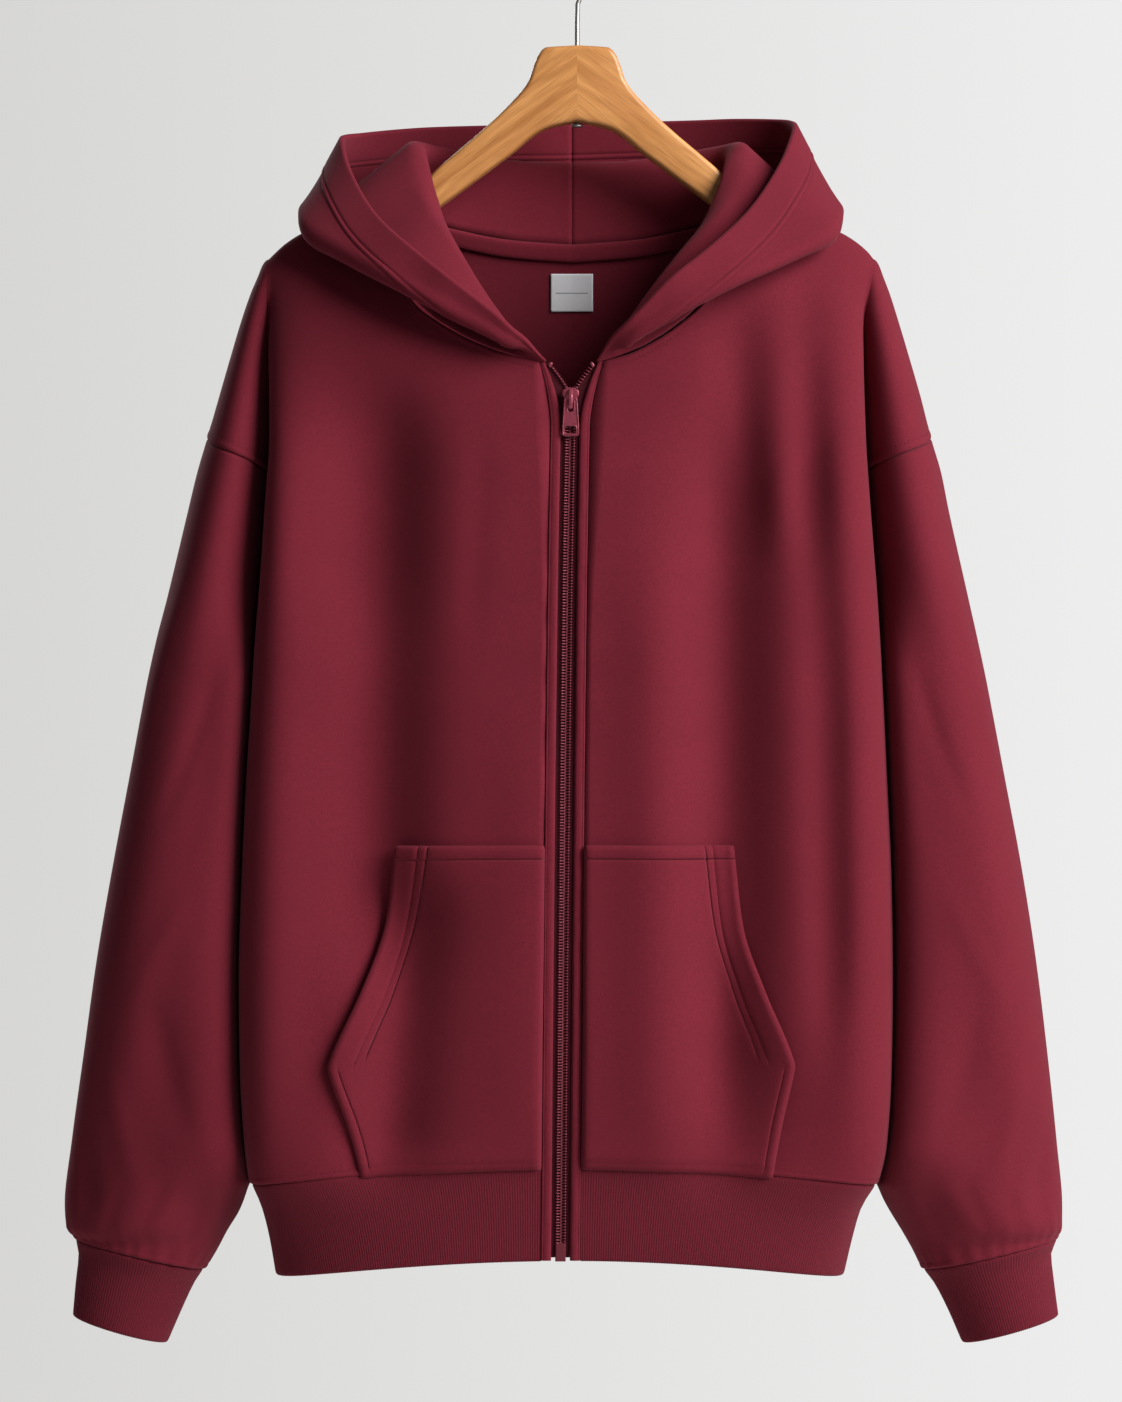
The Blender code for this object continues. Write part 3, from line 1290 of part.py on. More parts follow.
def as_mesh(curve_obj, name):
    """The curve's evaluated shape as a welded mesh object, in place of the curve."""
    bpy.context.view_layer.update()
    graph = bpy.context.evaluated_depsgraph_get()
    mesh = bpy.data.meshes.new_from_object(curve_obj.evaluated_get(graph))
    work = bmesh.new()
    work.from_mesh(mesh)
    bmesh.ops.remove_doubles(work, verts=work.verts, dist=0.01 * MM)
    bmesh.ops.recalc_face_normals(work, faces=work.faces)
    work.to_mesh(mesh)
    work.free()
    mesh.name = name
    obj = bpy.data.objects.new(name, mesh)
    obj.matrix_world = curve_obj.matrix_world.copy()
    HOODIE.objects.link(obj)
    bpy.data.objects.remove(curve_obj)
    return obj


def make_hook(steel):
    """The wire hook: down through the wood to its nut, up, aside and over."""
    ring = HOOK_RADIUS + HOOK_WIRE / 2
    centre_z = -HOOK_RADIUS
    points = [(0, -134.5), (0, -120), (0, -100), (0, -80), (0, -62), (0.4, -50), (4.0, -41), (10.5, -33)]
    start, end = math.radians(-28), math.radians(212)
    turns = np.linspace(start, end, 22)
    points += [(ring * math.cos(a), centre_z + ring * math.sin(a)) for a in turns]
    curve = bpy.data.curves.new("hook_path", "CURVE")
    curve.dimensions = "3D"
    curve.bevel_depth = HOOK_WIRE / 2 * MM
    curve.bevel_resolution = 2
    curve.use_fill_caps = True
    spline = curve.splines.new("POLY")
    spline.points.add(len(points) - 1)
    for point, (px, pz) in zip(spline.points, points):
        point.co = (px * MM, 0, pz * MM, 1)
    guide_obj = bpy.data.objects.new("hook_path", curve)
    HELPERS.objects.link(guide_obj)
    obj = as_mesh(guide_obj, "hanger_hook")
    finish(obj, steel)


def make_nut(steel):
    """The nut under the wood, on the hook's end."""
    work = bmesh.new()
    radius = 4.2 * MM
    made = bmesh.ops.create_cone(work, cap_ends=True, segments=12, radius1=radius, radius2=radius,
                                 depth=1.6 * MM)
    bmesh.ops.translate(work, verts=made["verts"], vec=Vector((0, 0, -135.7)) * MM)
    mesh = bpy.data.meshes.new("hanger_nut")
    work.to_mesh(mesh)
    work.free()
    obj = bpy.data.objects.new("hanger_nut", mesh)
    HOODIE.objects.link(obj)
    finish(obj, steel)


def main():
    cloth = material_of("burgundy_fleece", BURGUNDY, 0.9)
    rib = material_of("burgundy_rib", RIB_BURGUNDY, 0.92)
    zip_metal = material_of("burgundy_zip", ZIP_BURGUNDY, 0.35, 0.6)
    zip_cloth = material_of("zip_tape_weave", RIB_BURGUNDY, 0.85)
    wood = material_of("beech", BEECH, 0.45)
    steel = material_of("hook_steel", STEEL, 0.25, 1.0)
    satin = material_of("label_satin", LABEL_WHITE, 0.5)
    make_body_and_sleeves(cloth)
    make_cuffs(rib)
    make_hem(rib)
    make_hood(cloth)
    make_facings(cloth)
    make_zip(zip_cloth, zip_metal)
    make_slider(zip_metal)
    make_pull(zip_metal)
    make_label(satin)
    make_neck_tape(cloth)
    for obj in list(HOODIE.objects) + list(HELPERS.objects):
        obj.data.transform(Matrix.Translation((-HUNG_LEFT * MM, 0, 0)))
    make_hanger(wood)
    make_hook(steel)
    make_nut(steel)


for stale in list(bpy.data.objects):
    bpy.data.objects.remove(stale)
HOODIE = bpy.data.collections.new("zip_hoodie_on_hanger")
HELPERS = bpy.data.collections.new("helpers")
for collection in (HOODIE, HELPERS):
    bpy.context.scene.collection.children.link(collection)
main()
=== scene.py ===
"""The dressed zip-up hoodie on its wooden hanger: knit panels, seams, stitches, ribs, zip teeth and grain.

The tables and surface functions follow the solids' own, in millimetres, so each piece lies on the form of the
node that it stands for. Only the body near its side creases and the sleeves' start are a few millimetres
fuller or flatter than the solids. "left" and "right" are as seen from the front, so left is -X.
"""

import math

import bmesh
import bpy
import numpy as np
from mathutils import Matrix, Vector
from mathutils.bvhtree import BVHTree


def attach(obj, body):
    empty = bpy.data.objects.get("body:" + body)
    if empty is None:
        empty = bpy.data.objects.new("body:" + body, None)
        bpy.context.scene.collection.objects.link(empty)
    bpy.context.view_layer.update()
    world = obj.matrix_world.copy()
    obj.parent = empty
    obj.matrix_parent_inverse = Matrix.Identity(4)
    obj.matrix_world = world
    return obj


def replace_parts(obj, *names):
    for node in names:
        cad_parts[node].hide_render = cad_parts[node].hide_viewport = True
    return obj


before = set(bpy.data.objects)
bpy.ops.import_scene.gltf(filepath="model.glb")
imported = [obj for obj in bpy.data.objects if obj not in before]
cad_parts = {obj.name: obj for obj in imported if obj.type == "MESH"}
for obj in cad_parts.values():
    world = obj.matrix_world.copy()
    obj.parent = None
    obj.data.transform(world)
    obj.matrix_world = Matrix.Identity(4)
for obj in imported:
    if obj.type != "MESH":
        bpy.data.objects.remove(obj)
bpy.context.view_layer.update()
BODY_NAME = "garment_and_hanger"

MM = 0.001
LEFT, RIGHT = -1, 1
NAMES = {LEFT: "left", RIGHT: "right"}

# ---------------------------------------------------------------- driving dimensions, in millimetres
CLOTH = 2.2              # brushed fleece
RIB_CLOTH = 3.3          # doubled rib knit of the hem and cuffs
HOOD_CLOTH = 2.4
POCKET_CLOTH = 2.2
LAY_GAP = 0.35           # between a piece and the panel that it lies on

NECK_T = 0.62            # where the neckline crosses the shoulder seam, from front corner 0 to centre back 1
# The solids' columns along the neckline, which the hood's edge follows.
NECK_STOPS = (0, 0.1, 0.2, 0.3, 0.4, 0.48, 0.55, 0.595, 0.612, NECK_T, 0.64, 0.67, 0.73, 0.82, 0.91, 1)
SHOULDER_Z = -229.0      # outer end of the hanger
SEAM_FRONT_Z = -379.0    # where the armhole seam goes into the crease between sleeve and body
SEAM_TOP_Z = -353.0      # the armhole seam on top of the shoulder
ARMPIT_Z = -495.0
HEM_SEAM_Z = -857.0      # at centre front
HEM_Z = -921.0           # at centre front
HEM_DIP = 15.0           # how much lower the hem hangs at the sides
DIP_FROM_Z = -560.0
NOTCH_CLEAR = 0.5        # between the sleeve's inner side and the body's side

ZIP_EDGE = 13.8          # from the zip's axis to the front panel's edge
FACING_EDGE = 6.4        # ... to the facing's edge beside the teeth
FACING_SPREAD = 1.4      # how much further its inner edge turns back than its outer one
CHAIN_OUT = -0.3         # the chain's outer side from the panel's
BEAD_TOP = 15.6          # how far the middle of each open end is from the axis at the neck
SLIDER_TOP_Z = -325.0
ZIP_TOP_Z = -306.0
ZIP_OPEN = 8.8           # how far each front edge has turned back at the neck
ZIP_OPEN_Z = -350.0      # where the edges start to turn back

POCKET_TOP_Z = -638.0

HUNG_LEFT = 3.5          # how far the garment's middle hangs to the left of the hook
HANGER_THICK = 18.0


# ---------------------------------------------------------------- tables, in millimetres
def table(columns, *rows):
    """The rows' numbers under each column's name."""
    values = np.array(rows, float)
    return {name: values[:, i] for i, name in enumerate(columns.split())}


# Body: half widths to the crease or side seam, and how boxy the section is.
BODY = table(
    "z left right box",
    (-229, 212, 211, 4.0),
    (-250, 212, 207, 6.0),
    (-271, 211, 203, 8.0),
    (-299, 211, 202, 9.0),
    (-355, 211, 203, 9.0),
    (-404, 214, 206, 8.0),
    (-467, 218, 211, 7.0),
    (-530, 222, 215, 6.5),
    (-593, 226, 218, 6.5),
    (-656, 229, 221, 6.5),
    (-719, 231, 222, 6.5),
    (-782, 230, 221, 6.5),
    (-830, 227, 218, 6.2),
    (-852, 224.5, 213.5, 5.6),
    (-860, 221, 209, 5.2),
    (-874, 215.6, 201, 4.6),
    (-895, 210.7, 195.3, 4.0),
    (-921, 206.5, 189.5, 3.6),
)

# How far the cloth stands forward and back at a given drop below the shoulder line.
DRAPE = table(
    "drop front back",
    (0, 0, 0),
    (1, 9.5, 9),
    (3, 14.5, 13.5),
    (6, 18, 16.5),
    (10, 21.5, 19.5),
    (20, 28, 25),
    (40, 38, 32),
    (70, 50, 40),
    (110, 60, 47),
    (160, 67, 52),
    (240, 73, 56),
    (360, 76, 58),
    (560, 75, 58),
    (640, 71, 56),
    (668, 69, 55),
    (690, 67, 53),
    (740, 66, 52),
)

# The shoulder line over the hanger's arms.
SHOULDER = table(
    "x z",
    (0, -178),
    (122, -191),
    (155, -199),
    (187, -210),
    (200, -218),
    (212, -229),
)

# The neckline, from the front corner over the shoulder seam to centre back.
NECKLINE = table(
    "t left right z",
    (0.00, 23.1, 22.1, -304.5),
    (0.12, 43, 38, -300),
    (0.25, 67, 56, -291),
    (0.38, 92, 76, -277),
    (0.48, 111, 93, -260),
    (0.55, 117.5, 104, -232),
    (0.595, 122.5, 113, -207),
    (0.612, 126.5, 119.5, -196),
    (0.62, 130, 125, -191.9),
    (0.64, 126.5, 122.5, -193.1),
    (0.67, 120, 117, -195.4),
    (0.72, 107, 105, -199.5),
    (0.82, 80, 80, -207),
    (0.91, 42, 42, -214),
    (1.00, 0, 0, -217),
)

# Sleeve: outer edges, the angle at which front and back reach the crease, and depths.
ARM = table(
    "z left right notch front back",
    (-229, 212.5, 211.5, 120, 1, 1),
    (-230.5, 214.5, 213, 115, 9, 8.5),
    (-234, 216.8, 215, 105, 14, 13),
    (-241, 219.5, 217.5, 90, 19, 17.5),
    (-253, 224.5, 222, 68, 24.5, 22.5),
    (-272, 231, 228, 45, 30.5, 28),
    (-299, 239, 236, 26, 36, 34),
    (-327, 247, 244, 18, 42, 40),
    (-355, 255, 251, 13, 47, 45),
    (-379, 262, 258, 9, 50, 48),
    (-404, 268, 263, 7, 53, 52),
    (-467, 283, 277, 2, 58, 58),
    (-495, 290, 283, 0, 60, 60),
    (-593, 309, 302, 0, 62, 63),
    (-656, 321, 314, 0, 61, 63),
    (-719, 332, 324, 0, 59, 61),
    (-782, 341, 332, 0, 56, 58),
    (-845, 350, 339, 0, 52, 54),
    (-887, 355, 343, 0, 46, 48),
    (-905, 354, 343, 0, 41, 42),
    (-914, 347, 339, 0, 35, 36),
    (-936, 344, 335, 0, 32, 33),
)

# The sleeve's inner edge where it has left the body; above that it lies against the body's side.
ARM_INNER = table(
    "z left right",
    (-495, 200, 200),
    (-860, 218, 206),
    (-877, 226, 213.5),
    (-887, 229.5, 218),
    (-895, 233, 222.5),
    (-908, 241, 230.5),
    (-922, 248.5, 238.5),
    (-936, 258, 246),
)

# The sleeve's end and the cuff's: outer and inner edge, and half depth.
CUFF = table(
    "v outer_left outer_right inner_left inner_right outer_z inner_z depth",
    (0.00, 347, 339, 258, 246, -914, -935, 33),
    (0.18, 345, 335, 264, 253, -924, -944, 28),
    (0.55, 347, 337, 273, 263, -944, -963, 26),
    (1.00, 349, 340, 283, 273, -967, -986, 25),
)

# The zip's axis leans a little.
ZIP_AXIS = table("z x", (-300, -0.5), (-470, -3.6), (-920, -8.1))

# The pocket's outer edge: down the slanted opening, then in along the side to the hem.
POCKET = table(
    "z left right",
    (-638, 119, 110),
    (-690, 128, 117),
    (-735, 145, 133),
    (-778, 165, 150.5),
    (-781.5, 166, 151.3),
    (-785, 165.3, 150.7),
    (-820, 154, 143),
    (-856, 144, 136),
)

# Soft folds of the body: where each starts and ends, how wide it is, and how far it stands out (+) or in (-).
FRONT_FOLDS = table(
    "x_top z_top x_low z_low width out",
    (-131, -290, -133, -720, 33, -18),
    (-106, -640, -126, -860, 30, -15),
    (-204, -300, -212, -840, 24, 6),
    (-30, -520, -34, -840, 26, 3),
    (60, -400, 62, -850, 26, 5),
    (103, -300, 105, -850, 32, -20),
    (164, -280, 176, -780, 15, -5),
    (190, -300, 194, -850, 26, 7),
)
BACK_FOLDS = table(
    "x_top z_top x_low z_low width out",
    (-120, -330, -150, -840, 34, -8),
    (-40, -420, -30, -850, 36, 5),
    (60, -400, 85, -850, 34, -7),
    (150, -340, 165, -830, 28, 6),
)
# Between these levels a sleeve hangs free, flattened in front and behind and turned outward.
HANG_FROM_Z, HANG_TO_Z = -440.0, -905.0
HANG_FLAT, HANG_TURN = 0.55, 0.26

# Soft folds of a sleeve: angle round it from the inner side, level, size and depth. The front is at 90.
SLEEVE_FOLDS = table(
    "angle z wide high out",
    (70, -560, 26, 90, -4),
    (120, -700, 28, 110, 4),
    (85, -800, 22, 60, -4),
    (140, -890, 12, 26, -5),
    (60, -895, 12, 24, -4),
    (250, -640, 30, 100, -4),
    (290, -840, 26, 60, -4),
)

# The hood's guide lines, from the front corner t 0 to centre back t 1. The cloth rises from the neckline to
# the crest, rolls over and falls to the fold, and rises again to the rim.
CREST = table(
    "t left right y z radius",
    (0.00, 22.6, 21.6, -62.5, -302.0, 2.0),
    (0.12, 40, 34, -57, -286, 3.0),
    (0.25, 58, 50, -50, -264, 4.5),
    (0.38, 76, 72, -43, -233, 6.5),
    (0.48, 89, 92, -33, -206, 8.0),
    (0.56, 98, 105, -20, -180, 8.0),
    (0.60, 103, 110, -8, -160, 7.5),
    (0.64, 105, 112, 8, -149, 8.0),
    (0.68, 99, 107, 22, -148, 9.0),
    (0.74, 80, 86, 34, -150, 10.0),
    (0.82, 52, 56, 42, -154, 10.0),
    (0.91, 24, 25, 46, -156, 10.0),
    (1.00, 0, 0, 47, -156, 10.0),
)
FOLD = table(
    "t left right y z radius",
    (0.00, 22.2, 21.2, -64.5, -299.5, 2.0),
    (0.12, 38, 33, -73, -297, 3.0),
    (0.25, 56, 46, -80, -288, 4.0),
    (0.38, 90, 76, -82, -272, 5.5),
    (0.48, 124, 111, -76, -254, 6.5),
    (0.55, 158, 152, -58, -235, 7.5),
    (0.60, 186, 184, -36, -216, 8.0),
    (0.62, 188, 186, -18, -204.0, 7.0),
    (0.64, 188.5, 187, -4, -200.5, 7.0),
    (0.67, 187, 186, 16, -200.0, 7.5),
    (0.72, 182, 180, 42, -228, 10.0),
    (0.82, 148, 146, 72, -294, 15.0),
    (0.91, 84, 83, 81, -350, 17.0),
    (1.00, 0, 0, 83, -368, 17.0),
)
RIM = table(
    "t left right y z_left z_right",
    (0.00, 21.8, 20.8, -67, -296.5, -296.5),
    (0.12, 36, 29, -76, -289, -289),
    (0.25, 53, 44, -84, -275, -275),
    (0.38, 82, 66, -86, -253, -253),
    (0.48, 109, 93, -76, -231, -231),
    (0.56, 138, 124, -52, -202, -200),
    (0.62, 158, 150, -12, -162, -156),
    (0.67, 162, 157, 14, -143, -134),
    (0.72, 149, 149, 38, -137.5, -128),
    (0.82, 100, 104, 66, -129.5, -124),
    (0.91, 48, 52, 78, -126.5, -124),
    (1.00, 0, 0, 82, -125, -125),
)

# The hanger's outline from its middle to its end.
HANGER_TOP = table(
    "x z",
    (0, -80),
    (22, -81.5),
    (28, -88),
    (34, -105),
    (48, -122),
    (67, -140),
    (87, -157),
    (99, -167.5),
    (107, -177),
    (112, -188),
    (117, -196),
    (125, -197.6),
    (155, -204.4),
    (187, -217.6),
    (196, -226),
)
HANGER_BOTTOM = table(
    "x z",
    (0, -133),
    (22, -138),
    (48, -157),
    (72, -175),
    (95, -192),
    (122, -212),
    (155, -222),
    (187, -237),
    (196, -240),
)


# ---------------------------------------------------------------- curves through the tables
def smooth(rows, column, place, along="z"):
    """The column's value at each place, on a smooth curve through the rows that never overshoots them."""
    x, y = rows[along], rows[column]
    if x[0] > x[-1]:
        x, y = x[::-1], y[::-1]
    step = np.diff(x)
    rise = np.diff(y) / step
    slope = np.concatenate([rise[:1], np.zeros(len(y) - 2), rise[-1:]])
    same = rise[:-1] * rise[1:] > 0
    before, after = rise[:-1][same], rise[1:][same]
    slope[1:-1][same] = 2 * before * after / (before + after)
    place = np.clip(np.asarray(place, float), x[0], x[-1])
    i = np.clip(np.searchsorted(x, place) - 1, 0, len(step) - 1)
    s = (place - x[i]) / step[i]
    start = (1 + 2 * s) * (1 - s) ** 2 * y[i] + s * (1 - s) ** 2 * step[i] * slope[i]
    end = s * s * (3 - 2 * s) * y[i + 1] - s * s * (1 - s) * step[i] * slope[i + 1]
    return start + end


def ease(value):
    """0 to 1, with soft ends."""
    value = np.clip(value, 0, 1)
    return value * value * (3 - 2 * value)


def bell(value, wide):
    """1 in the middle, falling off on both sides."""
    return np.exp(-((value / wide) ** 2))


def unit(vector):
    return vector / np.maximum(np.linalg.norm(vector, axis=-1, keepdims=True), 1e-9)


def half(rows, side, place, along="z"):
    """The left or right column, as a distance from the middle."""
    return smooth(rows, NAMES[side], place, along)


# ---------------------------------------------------------------- surfaces of body and sleeve
def depth_at(face, x, z):
    """How far the front (-1) or back (1) stands out below the shoulder line at x."""
    drop = smooth(SHOULDER, "z", np.abs(x), "x") - z
    return smooth(DRAPE, "front" if face < 0 else "back", drop, "drop")


def arm_depth(face, z):
    return smooth(ARM, "front" if face < 0 else "back", z)


def notch_angle(z):
    """The angle round the sleeve at which its front or back meets the body's crease."""
    return np.radians(smooth(ARM, "notch", z))


def crease_y(face, z):
    return arm_depth(face, z) * np.sin(notch_angle(z))


def body_section(side, face, z):
    """Half width and boxiness of the body's section, which passes through the crease."""
    crease = half(BODY, side, z)
    box = smooth(BODY, "box", z)
    low = np.minimum(z, SHOULDER_Z - 8)
    lateral = np.clip(crease_y(face, low) / np.maximum(depth_at(face, crease, low), 1e-6), 0, 0.97)
    return crease / (1 - lateral**box) ** (1 / box), box


def folds_at(rows, x, z):
    """The soft folds' sum at a point of the front or back."""
    total = np.zeros(np.broadcast(x, z).shape)
    for x_top, z_top, x_low, z_low, width, out in zip(*rows.values()):
        along = (z_top - z) / (z_top - z_low)
        reach = ease(along * 4) * ease((1 - along) * 4 + 0.4)
        total = total + out * bell(x - (x_top + (x_low - x_top) * along), width) * reach
    return total


def body_y(side, face, across, z):
    """Y of the front or back at a distance across from the middle."""
    width, box = body_section(side, face, z)
    share = np.clip(across / width, 0, 1)
    lateral = (1 - share**box) ** (1 / box)
    folds = folds_at(FRONT_FOLDS if face < 0 else BACK_FOLDS, side * across, z)
    fade = ease(lateral * 1.6) * ease(depth_at(face, across, z) / 45)
    return face * (depth_at(face, across, z) * lateral + folds * fade)


def front_point(x, z, face=-1):
    """A point of the front at x and z, or of the back where face is 1."""
    x, z = np.broadcast_arrays(np.asarray(x, float), np.asarray(z, float))
    y = np.where(x < 0, body_y(LEFT, face, np.abs(x), z), body_y(RIGHT, face, np.abs(x), z))
    return np.stack([x, y, z], -1)


def front_normal(x, z, face=-1):
    """The outward normal there."""
    step = 2.0
    along_x = front_point(x + step, z, face) - front_point(x - step, z, face)
    along_z = front_point(x, z + step, face) - front_point(x, z - step, face)
    return -face * unit(np.cross(along_x, along_z))


def zip_x(z):
    return smooth(ZIP_AXIS, "x", z)


def zip_opening(z):
    """How far each front edge has turned back from the zip's axis."""
    return ZIP_OPEN * np.clip((z - ZIP_OPEN_Z) / (NECKLINE["z"][0] - ZIP_OPEN_Z), 0, 1) ** 1.7


def zip_edge(side, z, from_axis=ZIP_EDGE):
    return zip_x(z) + side * (from_axis + zip_opening(z))


def dipped(z, across, width):
    """Z after the hem's dip towards the sides."""
    return z - HEM_DIP * (across / width) ** 2 * ease((DIP_FROM_Z - z) / (DIP_FROM_Z - HEM_SEAM_Z))


def column_angle(across, width, box):
    """The section's angle at a distance across, 0 in the middle and a quarter turn at the side."""
    share = np.clip(across / width, 0, 1 - 1e-9)
    return np.arctan(share / (1 - share**box) ** (1 / box))


def across_at(angle, width, box):
    return width * np.sin(angle) / (np.sin(angle) ** box + np.abs(np.cos(angle)) ** box) ** (1 / box)


def neck_x(side, t):
    return half(NECKLINE, side, t, "t")


def neck_z(t):
    return smooth(NECKLINE, "z", t, "t")


def arm_section(side, z, clear=0.0):
    """Outer edge, and half width of the sleeve's oval, whose ends meet the crease at the notch angle."""
    nominal = z + HEM_DIP * ease((DIP_FROM_Z - z) / (DIP_FROM_Z - HEM_SEAM_Z + HEM_DIP))
    beside = half(BODY, side, np.maximum(nominal, HEM_SEAM_Z)) + clear
    inner = np.maximum(beside, half(ARM_INNER, side, z))
    outer = half(ARM, side, z)
    return outer, (outer - inner) / (1 + np.cos(notch_angle(z)))


def arm_point(side, angle, z, clear=0.0, puff=0.0):
    """A point of the sleeve. Angle 0 is its inner side, a quarter turn its front, a half turn its outside."""
    outer, width = arm_section(side, z, clear)
    depth = np.where(np.sin(angle) >= 0, arm_depth(-1, z), arm_depth(1, z)) + puff
    across = outer - width * (1 + np.cos(angle))
    hang = ease((HANG_FROM_Z - z) / 90) * ease((z - HANG_TO_Z) / 60)
    bulge = np.sign(np.sin(angle)) * np.abs(np.sin(angle)) ** (1 - HANG_FLAT * hang)
    y = -depth * bulge - HANG_TURN * hang * width * np.cos(angle)
    return np.stack([side * across, y, z + 0 * angle], -1)


def sleeve_puff(angle, z):
    """The sleeve's soft folds."""
    degrees = np.degrees(angle) % 360
    total = 0.0
    for middle, level, wide, high, out in zip(*SLEEVE_FOLDS.values()):
        turn = (degrees - middle + 180) % 360 - 180
        total = total + out * np.exp(-((turn / wide) ** 2) - ((z - level) / high) ** 2)
    return total


def cuff_point(side, angle, v, out=0.0):
    """A point of the cuff, which carries on from the sleeve's end."""
    columns = (f"outer_{NAMES[side]}", f"inner_{NAMES[side]}", "outer_z", "inner_z", "depth")
    outer, inner, outer_z, inner_z, depth = (smooth(CUFF, column, v, "v") for column in columns)
    long_axis = np.stack([side * (inner - outer) / 2, 0 * v, (inner_z - outer_z) / 2], -1)
    reach = 1 + out / np.linalg.norm(long_axis, axis=-1)
    middle = np.stack([side * (outer + inner) / 2, 0 * v, (outer_z + inner_z) / 2], -1)
    point = middle + long_axis * (np.cos(angle) * reach)[..., None]
    point[..., 1] = -(depth + out) * np.sin(angle)
    return point


# ---------------------------------------------------------------- the hood
ROLL_TURN = 95           # how far each fold turns either side of its outermost line, in degrees
FOLDED_FROM_T, FOLDED_OVER = 0.02, 0.16      # the hood is flat at the front corner and folded from there on


def guide(rows, side, t, height="z"):
    """Points of one of the hood's guide lines."""
    y, z = smooth(rows, "y", t, "t"), smooth(rows, height, t, "t")
    return np.stack([side * half(rows, side, t, "t"), y, z], -1)


def on_panel(side, t, across, z):
    """A point of the front panel where t is before the shoulder seam, and of the back panel after it."""
    y = np.where(t < NECK_T, body_y(side, -1, across, z), body_y(side, 1, across, z))
    return np.stack([side * across, y, z], -1)


def neck_point(side, t):
    """A point of the neckline."""
    point = on_panel(side, t, neck_x(side, t), neck_z(t))
    point[np.abs(t - NECK_T) < 1e-6, 1] = 0
    return point


def panel_normal(side, t):
    """The panel's outward normal at the neckline."""
    t = np.asarray(t, float)
    across, z = neck_x(side, t), neck_z(t)
    along = on_panel(side, t, across + 2, z) - on_panel(side, t, across, z)
    down = on_panel(side, t, across, z - 2) - on_panel(side, t, across, z - 4)
    normal = unit(np.cross(along, down))
    normal = normal * np.sign(normal[..., 1] * np.where(t < NECK_T, -1, 1))[..., None]
    ridge = ease(1 - np.abs(t - NECK_T) / 0.04)[..., None]
    return unit(normal * (1 - ridge) + np.array([0.0, 0.0, 1.0]) * ridge)


def neck_line(side, t):
    """The neckline as the solids have it: straight between their columns."""
    points = neck_point(side, np.array(NECK_STOPS, float))
    return np.stack([np.interp(t, NECK_STOPS, points[:, i]) for i in range(3)], -1)


def rolled(before, apex, after, radius, count):
    """Points round a fold of that radius, whose outermost point is apex."""
    out = unit(apex - (before + after) / 2)
    toward = after - apex
    across = unit(toward - np.sum(toward * out, -1, keepdims=True) * out)
    centre = apex - radius[:, None] * out
    turns = np.radians(np.linspace(-ROLL_TURN, ROLL_TURN, count))
    ring = [out * math.cos(a) + across * math.sin(a) for a in turns]
    return [centre + radius[:, None] * point for point in ring]


LEGS, ROLL = (16, 24, 24), 14     # the hood's columns on its three flat parts and round each roll


def hood_grid(side, t):
    """Points of half the hood: rows along t, columns from the neckline over crest and fold to the rim."""
    crest, fold, rim = guide(CREST, side, t), guide(FOLD, side, t), guide(RIM, side, t, f"z_{NAMES[side]}")
    neck = neck_line(side, t)
    up = unit(crest - neck)
    inside = unit(-neck * [1, 1, 0])
    steep = np.abs(np.sum(up * panel_normal(side, t), -1, keepdims=True))
    seam = neck + up * (0.35 + 1.5 * steep) + inside * CLOTH / 2
    first = rolled(seam, crest, fold, smooth(CREST, "radius", t, "t"), ROLL + 1)
    second = rolled(crest, fold, rim, smooth(FOLD, "radius", t, "t"), ROLL + 1)
    columns, start = [], seam
    for roll, count in zip((first, second, [rim]), LEGS):
        columns += [start + (roll[0] - start) * (i / count) for i in range(count)]
        columns += roll[:-1]
        start = roll[-1]
    folded = np.stack([*columns, rim], 1)
    lengths = np.linalg.norm(np.diff(folded, axis=1), axis=-1)
    along = np.concatenate([np.zeros((len(t), 1)), np.cumsum(lengths, 1)], 1) / lengths.sum(1, keepdims=True)
    plain = seam[:, None] + (rim - seam)[:, None] * along[..., None]
    return plain + (folded - plain) * ease((t - FOLDED_FROM_T) / FOLDED_OVER)[:, None, None]


# ---------------------------------------------------------------- the zip's slider and the inside of the neck
SLIDER_WIDTH, SLIDER_LENGTH, SLIDER_PLATE = 11.6, 14.5, 1.7
SLIDER_MIDDLE = 8        # below its top
SLIDER_OUT = 0.6         # its back from the chain's outer side
PULL_LENGTH, PULL_THICK = 24.4, 1.8
PULL_HINGE_DROP = 7.7    # below the slider's top
LABEL_WIDTH, LABEL_HEIGHT, LABEL_TOP_Z, LABEL_THICK = 30.0, 26.5, -235.0, 0.6
TAPE_HEIGHT, NECK_TAPE_THICK = 8.0, 1.2


def bead_offset(z):
    """How far the middle of the zip's open end is from the axis above the slider."""
    return 2.2 + (BEAD_TOP - 2.2) * np.clip((z - SLIDER_TOP_Z) / (ZIP_TOP_Z - SLIDER_TOP_Z), 0, 1) ** 1.15


def slider_frame():
    """(x, y of its back, z of its top) where the slider sits."""
    x = float(zip_x(SLIDER_TOP_Z - SLIDER_MIDDLE))
    y = float(front_point(x, SLIDER_TOP_Z - SLIDER_MIDDLE)[1]) - CHAIN_OUT
    return x, y - SLIDER_OUT, SLIDER_TOP_Z


def pull_axis():
    """The pull's hinge axis: (x, y, z), along X."""
    x, y, top = slider_frame()
    return x, y - SLIDER_PLATE - 2.3, top - PULL_HINGE_DROP


def back_inside(x, z, inward):
    """Points that far inside the back panel."""
    return front_point(x, z, 1) - front_normal(x, z, 1) * np.asarray(inward)[..., None]


# ---------------------------------------------------------------- looks: materials
def darker(colour, factor):
    return tuple(c * factor for c in colour)


